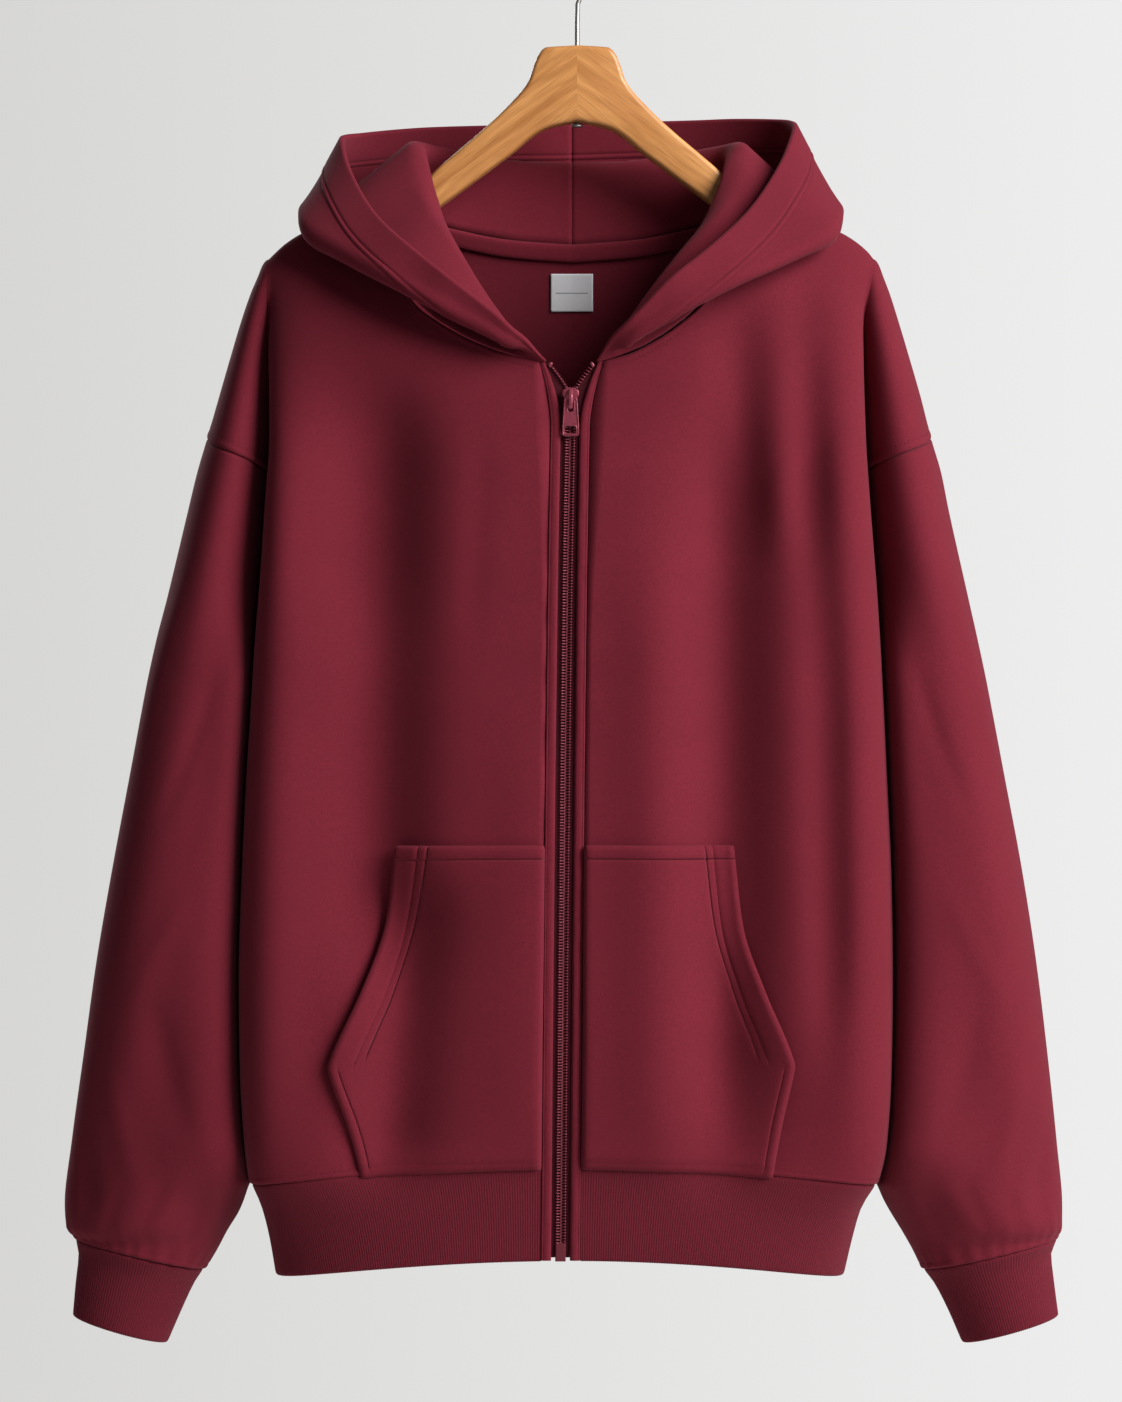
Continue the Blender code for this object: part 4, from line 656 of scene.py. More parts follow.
class Nodes:
    """Short calls for building a node tree."""

    def __init__(self, tree):
        self.tree = tree

    def new(self, kind, **values):
        node = self.tree.nodes.new(kind)
        for key, value in values.items():
            setattr(node, key, value)
        return node

    def put(self, socket, value):
        """Links the socket to another one, or sets it to a number or a colour."""
        if isinstance(value, bpy.types.NodeSocket):
            self.tree.links.new(value, socket)
        elif socket.type == "RGBA" and len(value) == 3:
            socket.default_value = (*value, 1.0)
        else:
            socket.default_value = value

    def math(self, operation, a, b=0.0):
        node = self.new("ShaderNodeMath", operation=operation)
        self.put(node.inputs[0], a)
        self.put(node.inputs[1], b)
        return node.outputs[0]

    def add(self, a, b):
        return self.math("ADD", a, b)

    def times(self, a, b):
        return self.math("MULTIPLY", a, b)

    def wave(self, value):
        return self.math("SINE", value)

    def noise(self, vector, scale, detail=2.0, roughness=0.5, stretch=None):
        if stretch is not None:
            mapping = self.new("ShaderNodeMapping")
            mapping.inputs["Scale"].default_value = stretch
            self.put(mapping.inputs["Vector"], vector)
            vector = mapping.outputs[0]
        node = self.new("ShaderNodeTexNoise")
        values = {"Vector": vector, "Scale": scale, "Detail": detail, "Roughness": roughness}
        for key, value in values.items():
            self.put(node.inputs[key], value)
        return node.outputs["Fac"]

    def ramp(self, value, low, high, to_low=0.0, to_high=1.0):
        node = self.new("ShaderNodeMapRange")
        for i, number in enumerate((value, low, high, to_low, to_high)):
            self.put(node.inputs[i], number)
        return node.outputs[0]

    def mix(self, share, first, second):
        node = self.new("ShaderNodeMix", data_type="RGBA")
        self.put(node.inputs["Factor"], share)
        self.put(node.inputs[6], first)
        self.put(node.inputs[7], second)
        return node.outputs[2]

    def bump(self, height, distance, strength=1.0, normal=None):
        node = self.new("ShaderNodeBump")
        self.put(node.inputs["Strength"], strength)
        self.put(node.inputs["Distance"], distance)
        self.put(node.inputs["Height"], height)
        if normal is not None:
            self.put(node.inputs["Normal"], normal)
        return node.outputs[0]

    def split(self, vector):
        """The X, Y and Z sockets of a vector."""
        node = self.new("ShaderNodeSeparateXYZ")
        self.put(node.inputs[0], vector)
        return node.outputs

    def object_at(self):
        return self.new("ShaderNodeTexCoord").outputs["Object"]

    def uv(self):
        return self.split(self.new("ShaderNodeUVMap").outputs[0])


class Look(Nodes):
    """A new material with its node tree and its Principled shader."""

    def __init__(self, name, colour, roughness, metallic=0.0):
        self.material = bpy.data.materials.new(name)
        self.material.use_nodes = True
        super().__init__(self.material.node_tree)
        self.shader = self.tree.nodes["Principled BSDF"]
        self.set({"Base Color": colour, "Roughness": roughness, "Metallic": metallic})

    def set(self, values):
        for name, value in values.items():
            self.put(self.shader.inputs[name], value)
        return self.material


def knit(name, colour, wale=0.72, course=0.6, sheen=0.12):
    """Jersey: rows of tiny loops, wale by course millimetres each, a faint mottle and a soft sheen."""
    look = Look(name, colour, 0.92)
    where, uv = look.object_at(), look.uv()
    leg = look.math("ABSOLUTE", look.wave(look.times(uv["X"], math.pi * 1000 / wale)))
    rows = look.times(uv["Y"], 2 * math.pi * 1000 / course)
    loops = look.wave(look.add(rows, look.times(leg, 2.2)))
    loops = look.times(look.add(loops, 1.0), 0.3)
    height = look.add(look.times(leg, 0.7), loops)
    fuzz = look.noise(where, 2600, 3)
    height = look.add(height, look.times(fuzz, 0.9))
    grain = look.ramp(look.noise(where, 620, 4, 0.7), 0.3, 0.7)
    cloud = look.ramp(look.noise(where, 26, 3, 0.6), 0.35, 0.65)
    shade = look.mix(grain, darker(colour, 0.84), darker(colour, 1.16))
    shade = look.mix(look.times(cloud, 0.3), shade, darker(colour, 0.86))
    return look.set({
        "Base Color": shade,
        "Normal": look.bump(height, 0.00005, 0.9),
        "Sheen Weight": sheen,
        "Sheen Roughness": 0.45,
        "Sheen Tint": (0.95, 0.42, 0.5, 1.0),
        "Specular IOR Level": 0.18,
    })


def thread_look(name, colour):
    """Twisted sewing thread."""
    look = Look(name, colour, 0.6)
    twist = look.noise(look.object_at(), 3200, 2)
    return look.set({
        "Base Color": look.mix(look.ramp(twist, 0.35, 0.65), darker(colour, 0.7), darker(colour, 1.25)),
        "Normal": look.bump(twist, 0.00008),
        "Specular IOR Level": 0.15,
    })


def lacquer(name, colour, roughness=0.27):
    """Lacquered zinc: smooth, with a little unevenness and rubbed spots."""
    look = Look(name, colour, roughness, 0.35)
    where = look.object_at()
    worn = look.ramp(look.noise(where, 900, 4, 0.65), 0.56, 0.72)
    rubbed = tuple(min(1, c * 1.7 + 0.02) for c in colour)
    uneven = look.noise(where, 420, 3)
    return look.set({
        "Base Color": look.mix(look.times(worn, 0.35), colour, rubbed),
        "Roughness": look.ramp(uneven, 0.3, 0.7, roughness * 0.8, roughness * 1.35),
        "Normal": look.bump(look.noise(where, 700, 2), 0.00003),
        "Coat Weight": 0.35,
        "Coat Roughness": 0.15,
    })


def woven_tape(name, colour):
    """The zip's woven tape: a fine twill."""
    look = Look(name, colour, 0.8)
    uv = look.uv()
    twill = look.wave(look.times(look.add(uv["X"], uv["Y"]), 2 * math.pi * 1600))
    warp = look.wave(look.times(uv["X"], 2 * math.pi * 2200))
    height = look.add(twill, look.times(warp, 0.5))
    return look.set({
        "Base Color": look.mix(look.ramp(height, -1.2, 1.2), darker(colour, 0.7), darker(colour, 1.2)),
        "Normal": look.bump(height, 0.00007),
        "Specular IOR Level": 0.12,
    })


def satin_label(name, colour):
    """White label satin, with fine weft lines and one thin grey line in place of the printing."""
    look = Look(name, colour, 0.7)
    uv = look.uv()
    weft = look.wave(look.times(uv["Y"], 2 * math.pi * 2600))
    satin = look.mix(look.ramp(weft, -1, 1), darker(colour, 0.93), colour)
    middle = (LABEL_TOP_Z - 0.51 * LABEL_HEIGHT) / 1000
    beside = look.math("ABSOLUTE", look.math("SUBTRACT", uv["Y"], middle))
    on_row = look.math("LESS_THAN", beside, 0.0003)
    in_line = look.math("LESS_THAN", look.math("ABSOLUTE", uv["X"]), 0.0115)
    return look.set({
        "Base Color": look.mix(look.times(on_row, in_line), satin, (0.3, 0.3, 0.32)),
        "Normal": look.bump(weft, 0.00003),
        "Specular IOR Level": 0.2,
    })


def wood_look(name):
    """Varnished wood, its grain running down both arms and meeting in the middle."""
    look = Look(name, (0.5, 0.22, 0.07), 0.38)
    at = look.split(look.object_at())
    out = look.math("ABSOLUTE", at["X"])
    along = look.add(look.times(out, 0.80), look.times(at["Z"], -0.60))
    side = look.add(look.times(out, 0.60), look.times(at["Z"], 0.80))
    left = look.math("LESS_THAN", at["X"], 0.0)
    joined = look.new("ShaderNodeCombineXYZ")
    look.put(joined.inputs["X"], along)
    look.put(joined.inputs["Y"], look.add(side, look.times(left, 0.37)))
    look.put(joined.inputs["Z"], at["Y"])
    grain_at = joined.outputs[0]
    bend = look.noise(grain_at, 9, 3, 0.5, stretch=(1.0, 3.0, 3.0))
    rings = look.wave(look.add(look.times(side, 620), look.times(bend, 34)))
    rings = look.ramp(rings, -1.0, 1.0)
    pores = look.noise(grain_at, 900, 3, 0.6, stretch=(0.045, 1.0, 1.0))
    streak = look.noise(grain_at, 110, 4, 0.6, stretch=(0.06, 1.0, 1.0))
    base = look.mix(look.ramp(streak, 0.3, 0.7), (0.52, 0.20, 0.052), (0.90, 0.44, 0.15))
    base = look.mix(look.times(rings, 0.34), base, (0.46, 0.165, 0.040))
    base = look.mix(look.times(look.ramp(pores, 0.52, 0.68), 0.4), base, (0.30, 0.095, 0.022))
    return look.set({
        "Base Color": base,
        "Normal": look.bump(look.add(pores, look.times(streak, 0.6)), 0.00012, 0.5),
        "Roughness": look.ramp(pores, 0.3, 0.7, 0.34, 0.46),
        "Coat Weight": 0.15,
        "Coat Roughness": 0.35,
    })


def steel_look(name):
    """Drawn steel wire with a dull finish."""
    look = Look(name, (0.40, 0.39, 0.37), 0.5, 1.0)
    drawn = look.noise(look.object_at(), 1500, 3, 0.6, stretch=(1.0, 1.0, 0.05))
    rounded = look.new("ShaderNodeBevel", samples=8)
    rounded.inputs["Radius"].default_value = 0.0012
    return look.set({
        "Roughness": look.ramp(drawn, 0.3, 0.7, 0.44, 0.56),
        "Base Color": look.mix(look.ramp(drawn, 0.3, 0.7), (0.36, 0.355, 0.34), (0.44, 0.435, 0.42)),
        "Normal": look.bump(drawn, 0.00002, normal=rounded.outputs[0]),
    })


# ---------------------------------------------------------------- making meshes
def place(points):
    """From the garment's own millimetres to metres in the frame."""
    return (np.asarray(points, float) - [HUNG_LEFT, 0, 0]) * MM


def object_of(name, mesh):
    obj = bpy.data.objects.new(name, mesh)
    bpy.context.scene.collection.objects.link(obj)
    return obj


def finished(obj, material, body=BODY_NAME):
    """The piece, with its material and slot, riding on its body."""
    obj.data.materials.append(material)
    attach(obj, body)
    return obj


def new_piece(name, points, faces, material, uvs=None):
    """A smooth piece of the garment, from points in millimetres, and uvs for each face's corners in turn."""
    mesh = bpy.data.meshes.new(name)
    mesh.from_pydata(place(points).tolist(), [], [list(map(int, face)) for face in faces])
    if uvs is not None:
        layer = mesh.uv_layers.new(name="UVMap")
        layer.data.foreach_set("uv", (uvs * MM).astype(np.float32).ravel())
    mesh.polygons.foreach_set("use_smooth", [True] * len(mesh.polygons))
    return finished(object_of(name, mesh), material)


def lengths_along(grid, axis):
    """Distance along each row or column of a grid from its first point."""
    step = np.linalg.norm(np.diff(grid, axis=axis), axis=-1)
    return np.concatenate([np.zeros_like(np.take(step, [0], axis)), np.cumsum(step, axis)], axis)


def from_last(grid, axis):
    """The same from the last point."""
    return np.flip(lengths_along(np.flip(grid, axis), axis), axis)


def grid_uv(grid):
    """Across along each row, and down along the first column."""
    across = lengths_along(grid, 1)
    return np.stack([across, lengths_along(grid, 0)[:, :1] + 0 * across], -1)


class Sewing:
    """Grids that are joined into one mesh, whose points are then pushed out along the joined normals."""

    def __init__(self):
        self.grids = []

    def add(self, grid, push=0.0, flip=False, closed=False, uv=None):
        if uv is None:
            uv = np.stack([lengths_along(grid, 1), -grid[..., 2]], -1)
        self.grids.append((grid, np.broadcast_to(push, grid.shape[:2]), flip, closed, uv))

    def join(self):
        """Merges the grids' shared points, pushes them out and drops corners that fell together."""
        points = np.concatenate([grid.reshape(-1, 3) for grid, *_ in self.grids])
        push = np.concatenate([push.ravel() for _, push, *_ in self.grids])
        self.uvs = np.concatenate([uv.reshape(-1, 2) for *_, uv in self.grids])
        faces, start = [], 0
        for grid, _, flip, closed, _ in self.grids:
            rows, columns = grid.shape[:2]
            ids = np.arange(rows * columns).reshape(rows, columns) + start
            if closed:
                ids = np.concatenate([ids, ids[:, :1]], 1)
            quads = np.stack([ids[:-1, :-1], ids[:-1, 1:], ids[1:, 1:], ids[1:, :-1]], -1).reshape(-1, 4)
            faces.append(quads[:, ::-1] if flip else quads)
            start += rows * columns
        faces = np.concatenate(faces)
        _, first, merged = np.unique(np.round(points, 2), axis=0, return_index=True, return_inverse=True)
        merged = merged.ravel()
        base = points[first]
        push = np.bincount(merged, push) / np.bincount(merged)
        corners = base[merged[faces]]
        facing = np.cross(corners[:, 2] - corners[:, 0], corners[:, 3] - corners[:, 1])
        normals = np.zeros_like(base)
        for k in range(4):
            np.add.at(normals, merged[faces[:, k]], facing)
        self.points = base + unit(normals) * push[:, None]
        self.faces, self.corners = [], []
        for face, ids in zip(faces.tolist(), merged[faces].tolist()):
            kept = [k for k in range(4) if ids[k] not in ids[:k]]
            if len(kept) > 2:
                self.faces.append([ids[k] for k in kept])
                self.corners.append([face[k] for k in kept])

    def build(self, name, material, slot, replaced, thickness=0.0, offset=-1.0):
        """Joins the grids into a piece that stands for a node, and returns its skin."""
        self.join()
        uvs = self.uvs[np.concatenate(self.corners)]
        obj = new_piece(name, self.points, self.faces, material, uvs)
        if thickness:
            solid = obj.modifiers.new("cloth", "SOLIDIFY")
            solid.thickness = thickness * MM
            solid.offset = offset
        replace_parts(obj, replaced)
        return Skin(self.points, self.faces)


def sew(name, grid, material, slot, replaced, thickness=0.0, offset=-1.0, **how):
    """A piece of one grid, and its skin."""
    sewing = Sewing()
    sewing.add(grid, **how)
    return sewing.build(name, material, slot, replaced, thickness, offset)


class Skin:
    """A panel's finished outer surface, which trims are laid on."""

    def __init__(self, points, faces):
        self.tree = BVHTree.FromPolygons([Vector(p) for p in points], [tuple(map(int, f)) for f in faces])

    def at(self, points):
        """The nearest surface points and their normals, smoothed along the row."""
        found = [self.tree.find_nearest(Vector(p))[:2] for p in points]
        spots = np.array([spot[:] for spot, _ in found])
        normals = np.array([normal[:] for _, normal in found])
        for _ in range(2):
            padded = np.concatenate([normals[:1], normals, normals[-1:]])
            normals = unit(padded[:-2] + 2 * padded[1:-1] + padded[2:])
        return spots, normals


def run_along(line):
    """Distance along a line of points from its first one."""
    return np.concatenate([[0], np.cumsum(np.linalg.norm(np.diff(line, axis=0), axis=1))])


def resample(line, run, spots):
    """The line's points at those distances along it."""
    return np.stack([np.interp(spots, run, line[:, i]) for i in range(3)], 1)


def evenly(line, step):
    """The line's points at even steps."""
    run = run_along(line)
    count = max(int(round(run[-1] / step)), 2)
    return resample(line, run, np.linspace(0, run[-1], count + 1))


DIAMOND = ((0.5, 0), (0, 0.5), (-0.5, 0), (0, -0.5))    # a stitch's section, sideways and up


def thread(name, lines, skin, pitch=3.1, long=2.2, thick=0.55, proud=0.12, material=None):
    """Rows of stitches laid on a skin along the lines: eight-cornered beads with pointed ends."""
    points, faces = [], []
    for line in lines:
        spots, normals = skin.at(evenly(line, pitch / 4))
        along = unit(np.gradient(spots, axis=0))
        for i in range(2, len(spots) - 1, 4):
            t, n = along[i], normals[i]
            b = np.cross(n, t)
            centre = spots[i] + n * (proud - thick * 0.2)
            base = len(points)
            points.append(centre - t * long / 2 - n * thick * 0.7)
            for end in (-0.30, 0.30):
                points += [centre + t * long * end + b * thick * db + n * thick * dn for db, dn in DIAMOND]
            points.append(centre + t * long / 2 - n * thick * 0.7)
            for k in range(4):
                j = (k + 1) % 4
                faces.append((base, base + 1 + j, base + 1 + k))
                faces.append((base + 1 + k, base + 1 + j, base + 5 + j, base + 5 + k))
                faces.append((base + 5 + k, base + 5 + j, base + 9))
    return new_piece(name, np.array(points), faces, material or THREAD)


# How a sewn edge rises over its seam allowance and is pressed down by its stitches, at share 1 of the width.
SEAM_EDGE = table(
    "share high",
    (0.0, -1.3),
    (0.05, -0.5),
    (0.14, 0.15),
    (0.30, 0.50),
    (0.50, 0.60),
    (0.75, 0.48),
    (0.90, 0.16),
    (1.00, -0.10),
    (1.10, 0.12),
    (1.35, 0.20),
    (1.70, 0.06),
    (2.00, 0.0),
)
NECK_ALLOWANCE, HEM_ALLOWANCE, ARMHOLE_ALLOWANCE, CUFF_ALLOWANCE = 5.6, 4.8, 6.0, 5.0


def seam_rise(distance, wide):
    return np.interp(distance / wide, SEAM_EDGE["share"], SEAM_EDGE["high"])


def beside_edge(grid, run, distance):
    """The line across a grid's columns at that distance from its first row."""
    return np.concatenate([resample(grid[:, j], run[:, j], [distance]) for j in range(grid.shape[1])])


# ---------------------------------------------------------------- folds
def ridges(rows, s, z):
    """The sum of soft ridges (+) and furrows (-), each between two points of a surface, s across and z up."""
    total = np.zeros(np.broadcast(s, z).shape)
    for a, b, c, d, wide, out in zip(*rows.values()):
        run = np.array([c - a, d - b])
        size = np.hypot(*run)
        along = ((s - a) * run[0] + (z - b) * run[1]) / size**2
        off = ((s - a) * run[1] - (z - b) * run[0]) / size
        total = total + out * bell(off, wide) * ease(along * 3) * ease((1 - along) * 3)
    return total


FRONT_FINE = table(
    "s_top z_top s_low z_low width out",
    (-150, -270, -162, -520, 44, -9.0),
    (-164, -440, -168, -850, 40, -5.0),
    (-60, -330, -70, -520, 10, -1.0),
    (117, -240, 112, -470, 22, -9.0),
    (163, -225, 160, -470, 14, -6.0),
    (177, -430, 180, -800, 15, -3.5),
    (100, -300, 118, -470, 10, 1.0),
    (60, -690, 140, -800, 10, -1.5),
    (40, -700, 100, -850, 9, 1.2),
    (-70, -660, -120, -845, 12, 1.2),
    (-100, -700, -60, -850, 10, -1.0),
)
BACK_FINE = table(
    "s_top z_top s_low z_low width out",
    (-150, -300, -120, -480, 12, -1.4),
    (120, -330, 150, -560, 12, 1.2),
    (-60, -640, -90, -840, 12, 1.2),
    (40, -600, 60, -830, 12, -1.2),
)
# Here s is the turn round the sleeve in degrees from its inner side: 90 is its front, 180 its outer side.
SLEEVE_FINE = table(
    "s_top z_top s_low z_low width out",
    (60, -500, 110, -640, 9, -1.0),
    (120, -420, 150, -600, 12, 0.8),
    (70, -660, 120, -760, 9, 0.9),
    (100, -730, 60, -860, 10, -1.1),
    (130, -780, 90, -900, 8, 1.0),
    (150, -830, 120, -905, 7, -0.8),
    (80, -860, 95, -912, 5, -0.8),
    (110, -872, 118, -914, 5, -0.9),
    (60, -880, 66, -916, 5, 0.7),
    (140, -870, 150, -912, 5, 0.7),
    (250, -560, 220, -760, 12, -0.9),
    (280, -700, 230, -880, 12, 0.8),
)

# ---------------------------------------------------------------- panels
# Rows at a seam, by their distance from it, and the levels of a panel's rows outside the crease and below.
NEAR_SEAM = np.array([12, 9, 7, 5.5, 4.2, 3.2, 2.4, 1.8, 1.2, 0.8, 0.4, 0.0])
CAP_Z = np.concatenate([SHOULDER_Z - 138 * np.linspace(0, 1, 36) ** 1.9, SEAM_FRONT_Z + NEAR_SEAM[1:]])
NOTCH_Z = np.linspace(SEAM_FRONT_Z, ARMPIT_Z, 26)
LOW_Z = np.concatenate([np.linspace(ARMPIT_Z, HEM_SEAM_Z + 12, 84)[1:], HEM_SEAM_Z + NEAR_SEAM[1:]])
RIDGE_COLUMNS = 22       # along the shoulder, beside the neckline's
ARM_COLUMNS = 26         # round half a sleeve or dropped shoulder
NECK_STEP = 3.0          # between columns along the neckline
COLUMNS_EVEN = 190.0     # how far below the top they have spread evenly
NARROW_FROM_X = 110      # outside this, columns move in where the body is narrower than at the shoulder


def column_tops(side, face):
    """(distance across, z) of the top of each panel column: along the neckline, then along the shoulder."""
    t = np.linspace(0 if face < 0 else 1, NECK_T, 600)
    run = run_along(neck_point(RIGHT, t))
    t = np.interp(np.linspace(0, run[-1], int(run[-1] / NECK_STEP) + 1), run, t)
    neck = np.stack([neck_x(side, t), neck_z(t)], 1)
    share = np.linspace(0, 1, RIDGE_COLUMNS + 1)[1:]
    x = neck[-1, 0] + (half(BODY, side, SHOULDER_Z) - neck[-1, 0]) * share
    z = smooth(SHOULDER, "z", x, "x")
    z[-1] = SHOULDER_Z
    return np.concatenate([neck, np.stack([x, z], 1)])


def fine_body(side, face):
    """Points of half the front or back, and their z before the hem's dip. The columns start where the
    neckline has them and are spread evenly further down."""
    tops = column_tops(side, face)
    top_x, top_z = tops[None, :, 0], tops[None, :, 1]
    levels = (np.concatenate([CAP_Z, NOTCH_Z[1:], LOW_Z]) - SHOULDER_Z) / (HEM_SEAM_Z - SHOULDER_Z)
    z = top_z + (HEM_SEAM_Z - top_z) * levels[:, None]
    width, box = body_section(side, face, z)
    inner = side * zip_edge(side, z) if face < 0 else np.zeros_like(z)
    inner_angle = column_angle(np.maximum(inner, 0), width, box)
    crease = half(BODY, side, z)
    crease_angle = column_angle(crease, width, box)
    low_angle = inner_angle + (crease_angle - inner_angle) * np.linspace(0, 1, len(tops))[None, :]
    widest = half(BODY, side, SHOULDER_Z)
    narrower = np.maximum(widest - crease, 0)
    top_x = top_x - narrower * np.clip((top_x - NARROW_FROM_X) / (widest - NARROW_FROM_X), 0, 1) ** 2
    top_angle = column_angle(np.minimum(top_x, crease), width, box)
    top_angle[:, -1] = crease_angle[:, -1]
    if face < 0:
        top_angle[:, 0] = inner_angle[:, 0]
    angle = top_angle + (low_angle - top_angle) * ease((top_z - z) / COLUMNS_EVEN)
    across = across_at(angle, width, box)
    across[:, -1] = crease[:, -1]
    y = body_y(side, face, across, z)
    y[:, -1] = face * crease_y(face, z[:, -1])
    y[0, -1 - RIDGE_COLUMNS :] = 0.0
    return np.stack([side * across, y, dipped(z, across, width)], -1), z


def cap_points(side, face):
    """Points of the dropped shoulder outside the crease: rows from the hanger's end to the armhole seam."""
    share = np.linspace(0, 1, ARM_COLUMNS + 1)[None, :]
    low = SEAM_FRONT_Z + (SEAM_TOP_Z - SEAM_FRONT_Z) * share
    level = (CAP_Z[:, None] - SHOULDER_Z) / (SEAM_FRONT_Z - SHOULDER_Z)
    z = SHOULDER_Z + (low - SHOULDER_Z) * level
    angle = notch_angle(z) + (math.pi - notch_angle(z)) * share
    points = arm_point(side, -face * angle, z)
    points[:, -1, 1] = 0.0
    points[0] = [side * half(BODY, side, SHOULDER_Z), 0.0, SHOULDER_Z]
    return points


def zip_ripple(z, start):
    """The small waves of the front beside the zip, at a distance from its edge."""
    return 0.35 * np.sin(z / 9.0 + 2 * np.sin(z / 41.0)) * np.exp(-start / 16)


def make_body():
    """Front panels with their dropped shoulders, and the back."""
    back, back_lines = Sewing(), []
    for side in (LEFT, RIGHT):
        front, front_lines = Sewing(), []
        for face, sewing, lines in ((-1, front, front_lines), (1, back, back_lines)):
            grid, z = fine_body(side, face)
            from_top, from_hem = lengths_along(grid, 0), from_last(grid, 0)
            start, from_side = lengths_along(grid, 1), from_last(grid, 1)
            neck_columns = grid.shape[1] - RIDGE_COLUMNS - 1
            at_neck = np.clip((neck_columns - np.arange(grid.shape[1])) / 5, 0, 1)
            push = ridges(FRONT_FINE if face < 0 else BACK_FINE, grid[..., 0], z) * ease(from_side / 16)
            push = push + seam_rise(from_hem, HEM_ALLOWANCE)
            push = push + seam_rise(from_top, NECK_ALLOWANCE) * at_neck * 1.5
            if face < 0:
                push = push + zip_ripple(z, start)
            flip = face != side
            sewing.add(grid, push, flip, uv=np.stack([side * start, -z], -1))
            cap = cap_points(side, face)
            from_seam = from_last(cap, 0)
            uv = np.stack([side * (start.max() + lengths_along(cap, 1)), -cap[..., 2]], -1)
            sewing.add(cap, seam_rise(from_seam, ARMHOLE_ALLOWANCE), flip, uv=uv)
            lines.append(beside_edge(grid, from_top, NECK_ALLOWANCE)[1 : neck_columns - 3])
            lines.append(beside_edge(grid[::-1], from_hem[::-1], HEM_ALLOWANCE)[1:-1])
            lines.append(beside_edge(cap[::-1], from_seam[::-1], ARMHOLE_ALLOWANCE)[2:])
        name = f"front_{NAMES[side]}"
        skin = front.build(f"panel_{name}", FLEECE, "burgundy_fleece", name, CLOTH)
        thread(f"stitches_{name}", front_lines, skin)
    skin = back.build("panel_back", FLEECE, "burgundy_fleece", "back", CLOTH)
    thread("stitches_back", back_lines, skin)


SLEEVE_ROWS, SLEEVE_LONG = 120, 560      # rows between the seams, and the length that they are spread over
SLEEVE_TUCK = 1.6                        # how far its first row lies inside the armhole seam
CUFF_GATHERS, GATHER_HIGH = 26, 0.5


def make_sleeves():
    """Sleeves from the armhole seam to the cuff seam, with columns all round from the armpit."""
    share = np.linspace(0, 1, ARM_COLUMNS + 1)[1:]
    seam_z = SEAM_FRONT_Z + (SEAM_TOP_Z - SEAM_FRONT_Z) * share
    start = notch_angle(seam_z)
    front = np.concatenate([notch_angle(NOTCH_Z[::-1]), start + (math.pi - start) * share])
    angle = np.concatenate([front, 2 * math.pi - front[-2::-1]])
    top_z = np.concatenate([NOTCH_Z[::-1], seam_z])
    top_z = np.concatenate([top_z, top_z[-2::-1]])
    near = NEAR_SEAM / SLEEVE_LONG
    middle = np.linspace(near[0], 1 - near[0], SLEEVE_ROWS)[1:-1]
    v = np.concatenate([near[::-1], middle, 1 - near])[:, None]
    turn = angle + (np.linspace(0, 2 * math.pi, len(angle)) - angle) * (1 - (1 - v) ** 3)
    low_z = CUFF["outer_z"][0] + (CUFF["inner_z"][0] - CUFF["outer_z"][0]) * (1 + np.cos(turn)) / 2
    z = top_z + (low_z - top_z) * v
    puff = sleeve_puff(turn, z) * ease(v * 8) * ease((1 - v) * 12)
    for side in (LEFT, RIGHT):
        grid = arm_point(side, turn, z, NOTCH_CLEAR, puff)
        from_top, from_cuff = lengths_along(grid, 0), from_last(grid, 0)
        push = ridges(SLEEVE_FINE, np.degrees(turn), grid[..., 2]) * ease(v * 10) - 1.3 * bell(from_top, 1.1)
        push = push + seam_rise(from_cuff, CUFF_ALLOWANCE)
        gather = np.sin(turn * CUFF_GATHERS + 3 * np.sin(turn * 3)) * GATHER_HIGH
        push = push + gather * bell(from_cuff - 7, 9)
        inside = grid[0] + [-side * SLEEVE_TUCK, 0, 3.0] - np.sign(grid[0][:, 1:2]) * [0, SLEEVE_TUCK, 0]
        grid = np.concatenate([inside[None], grid])
        push = np.concatenate([np.full((1, grid.shape[1]), -SLEEVE_TUCK), push])
        uv = np.stack([lengths_along(grid, 1), lengths_along(grid, 0)], -1)
        name = f"sleeve_{NAMES[side]}"
        sew(f"tube_{name}", grid, FLEECE, "burgundy_fleece", name, CLOTH,
            push=push, flip=side == RIGHT, uv=uv)


RIB_HIGH = 0.36
PER_RIB = 4              # points across a rib
HEM_RIBS, CUFF_RIBS = 560, 112


def ribbing(name, path, levels, count, closed, replaced):
    """A ribbed band. path(level, inset) gives points along it, and levels are (level, inset, drop, rib) from
    its outer top edge, under its lower fold, to its inner top edge."""
    columns = count * PER_RIB + (0 if closed else 1)
    rib_line = RIB_HIGH * (np.abs(np.cos(np.arange(columns) / PER_RIB * math.pi)) ** 0.7 - 0.6)
    rows = []
    for level, inset, drop, _ in levels:
        line = path(level, inset)
        run = run_along(line)
        spots = np.linspace(0, run[-1], count * PER_RIB + 1)[:columns]
        rows.append(resample(line, run, spots) - [0, 0, drop])
    grid = np.stack(rows)
    push = np.stack([rib * rib_line for *_, rib in levels])
    sew(name, grid, RIB, "burgundy_rib", replaced, push=push, closed=closed, uv=grid_uv(grid))


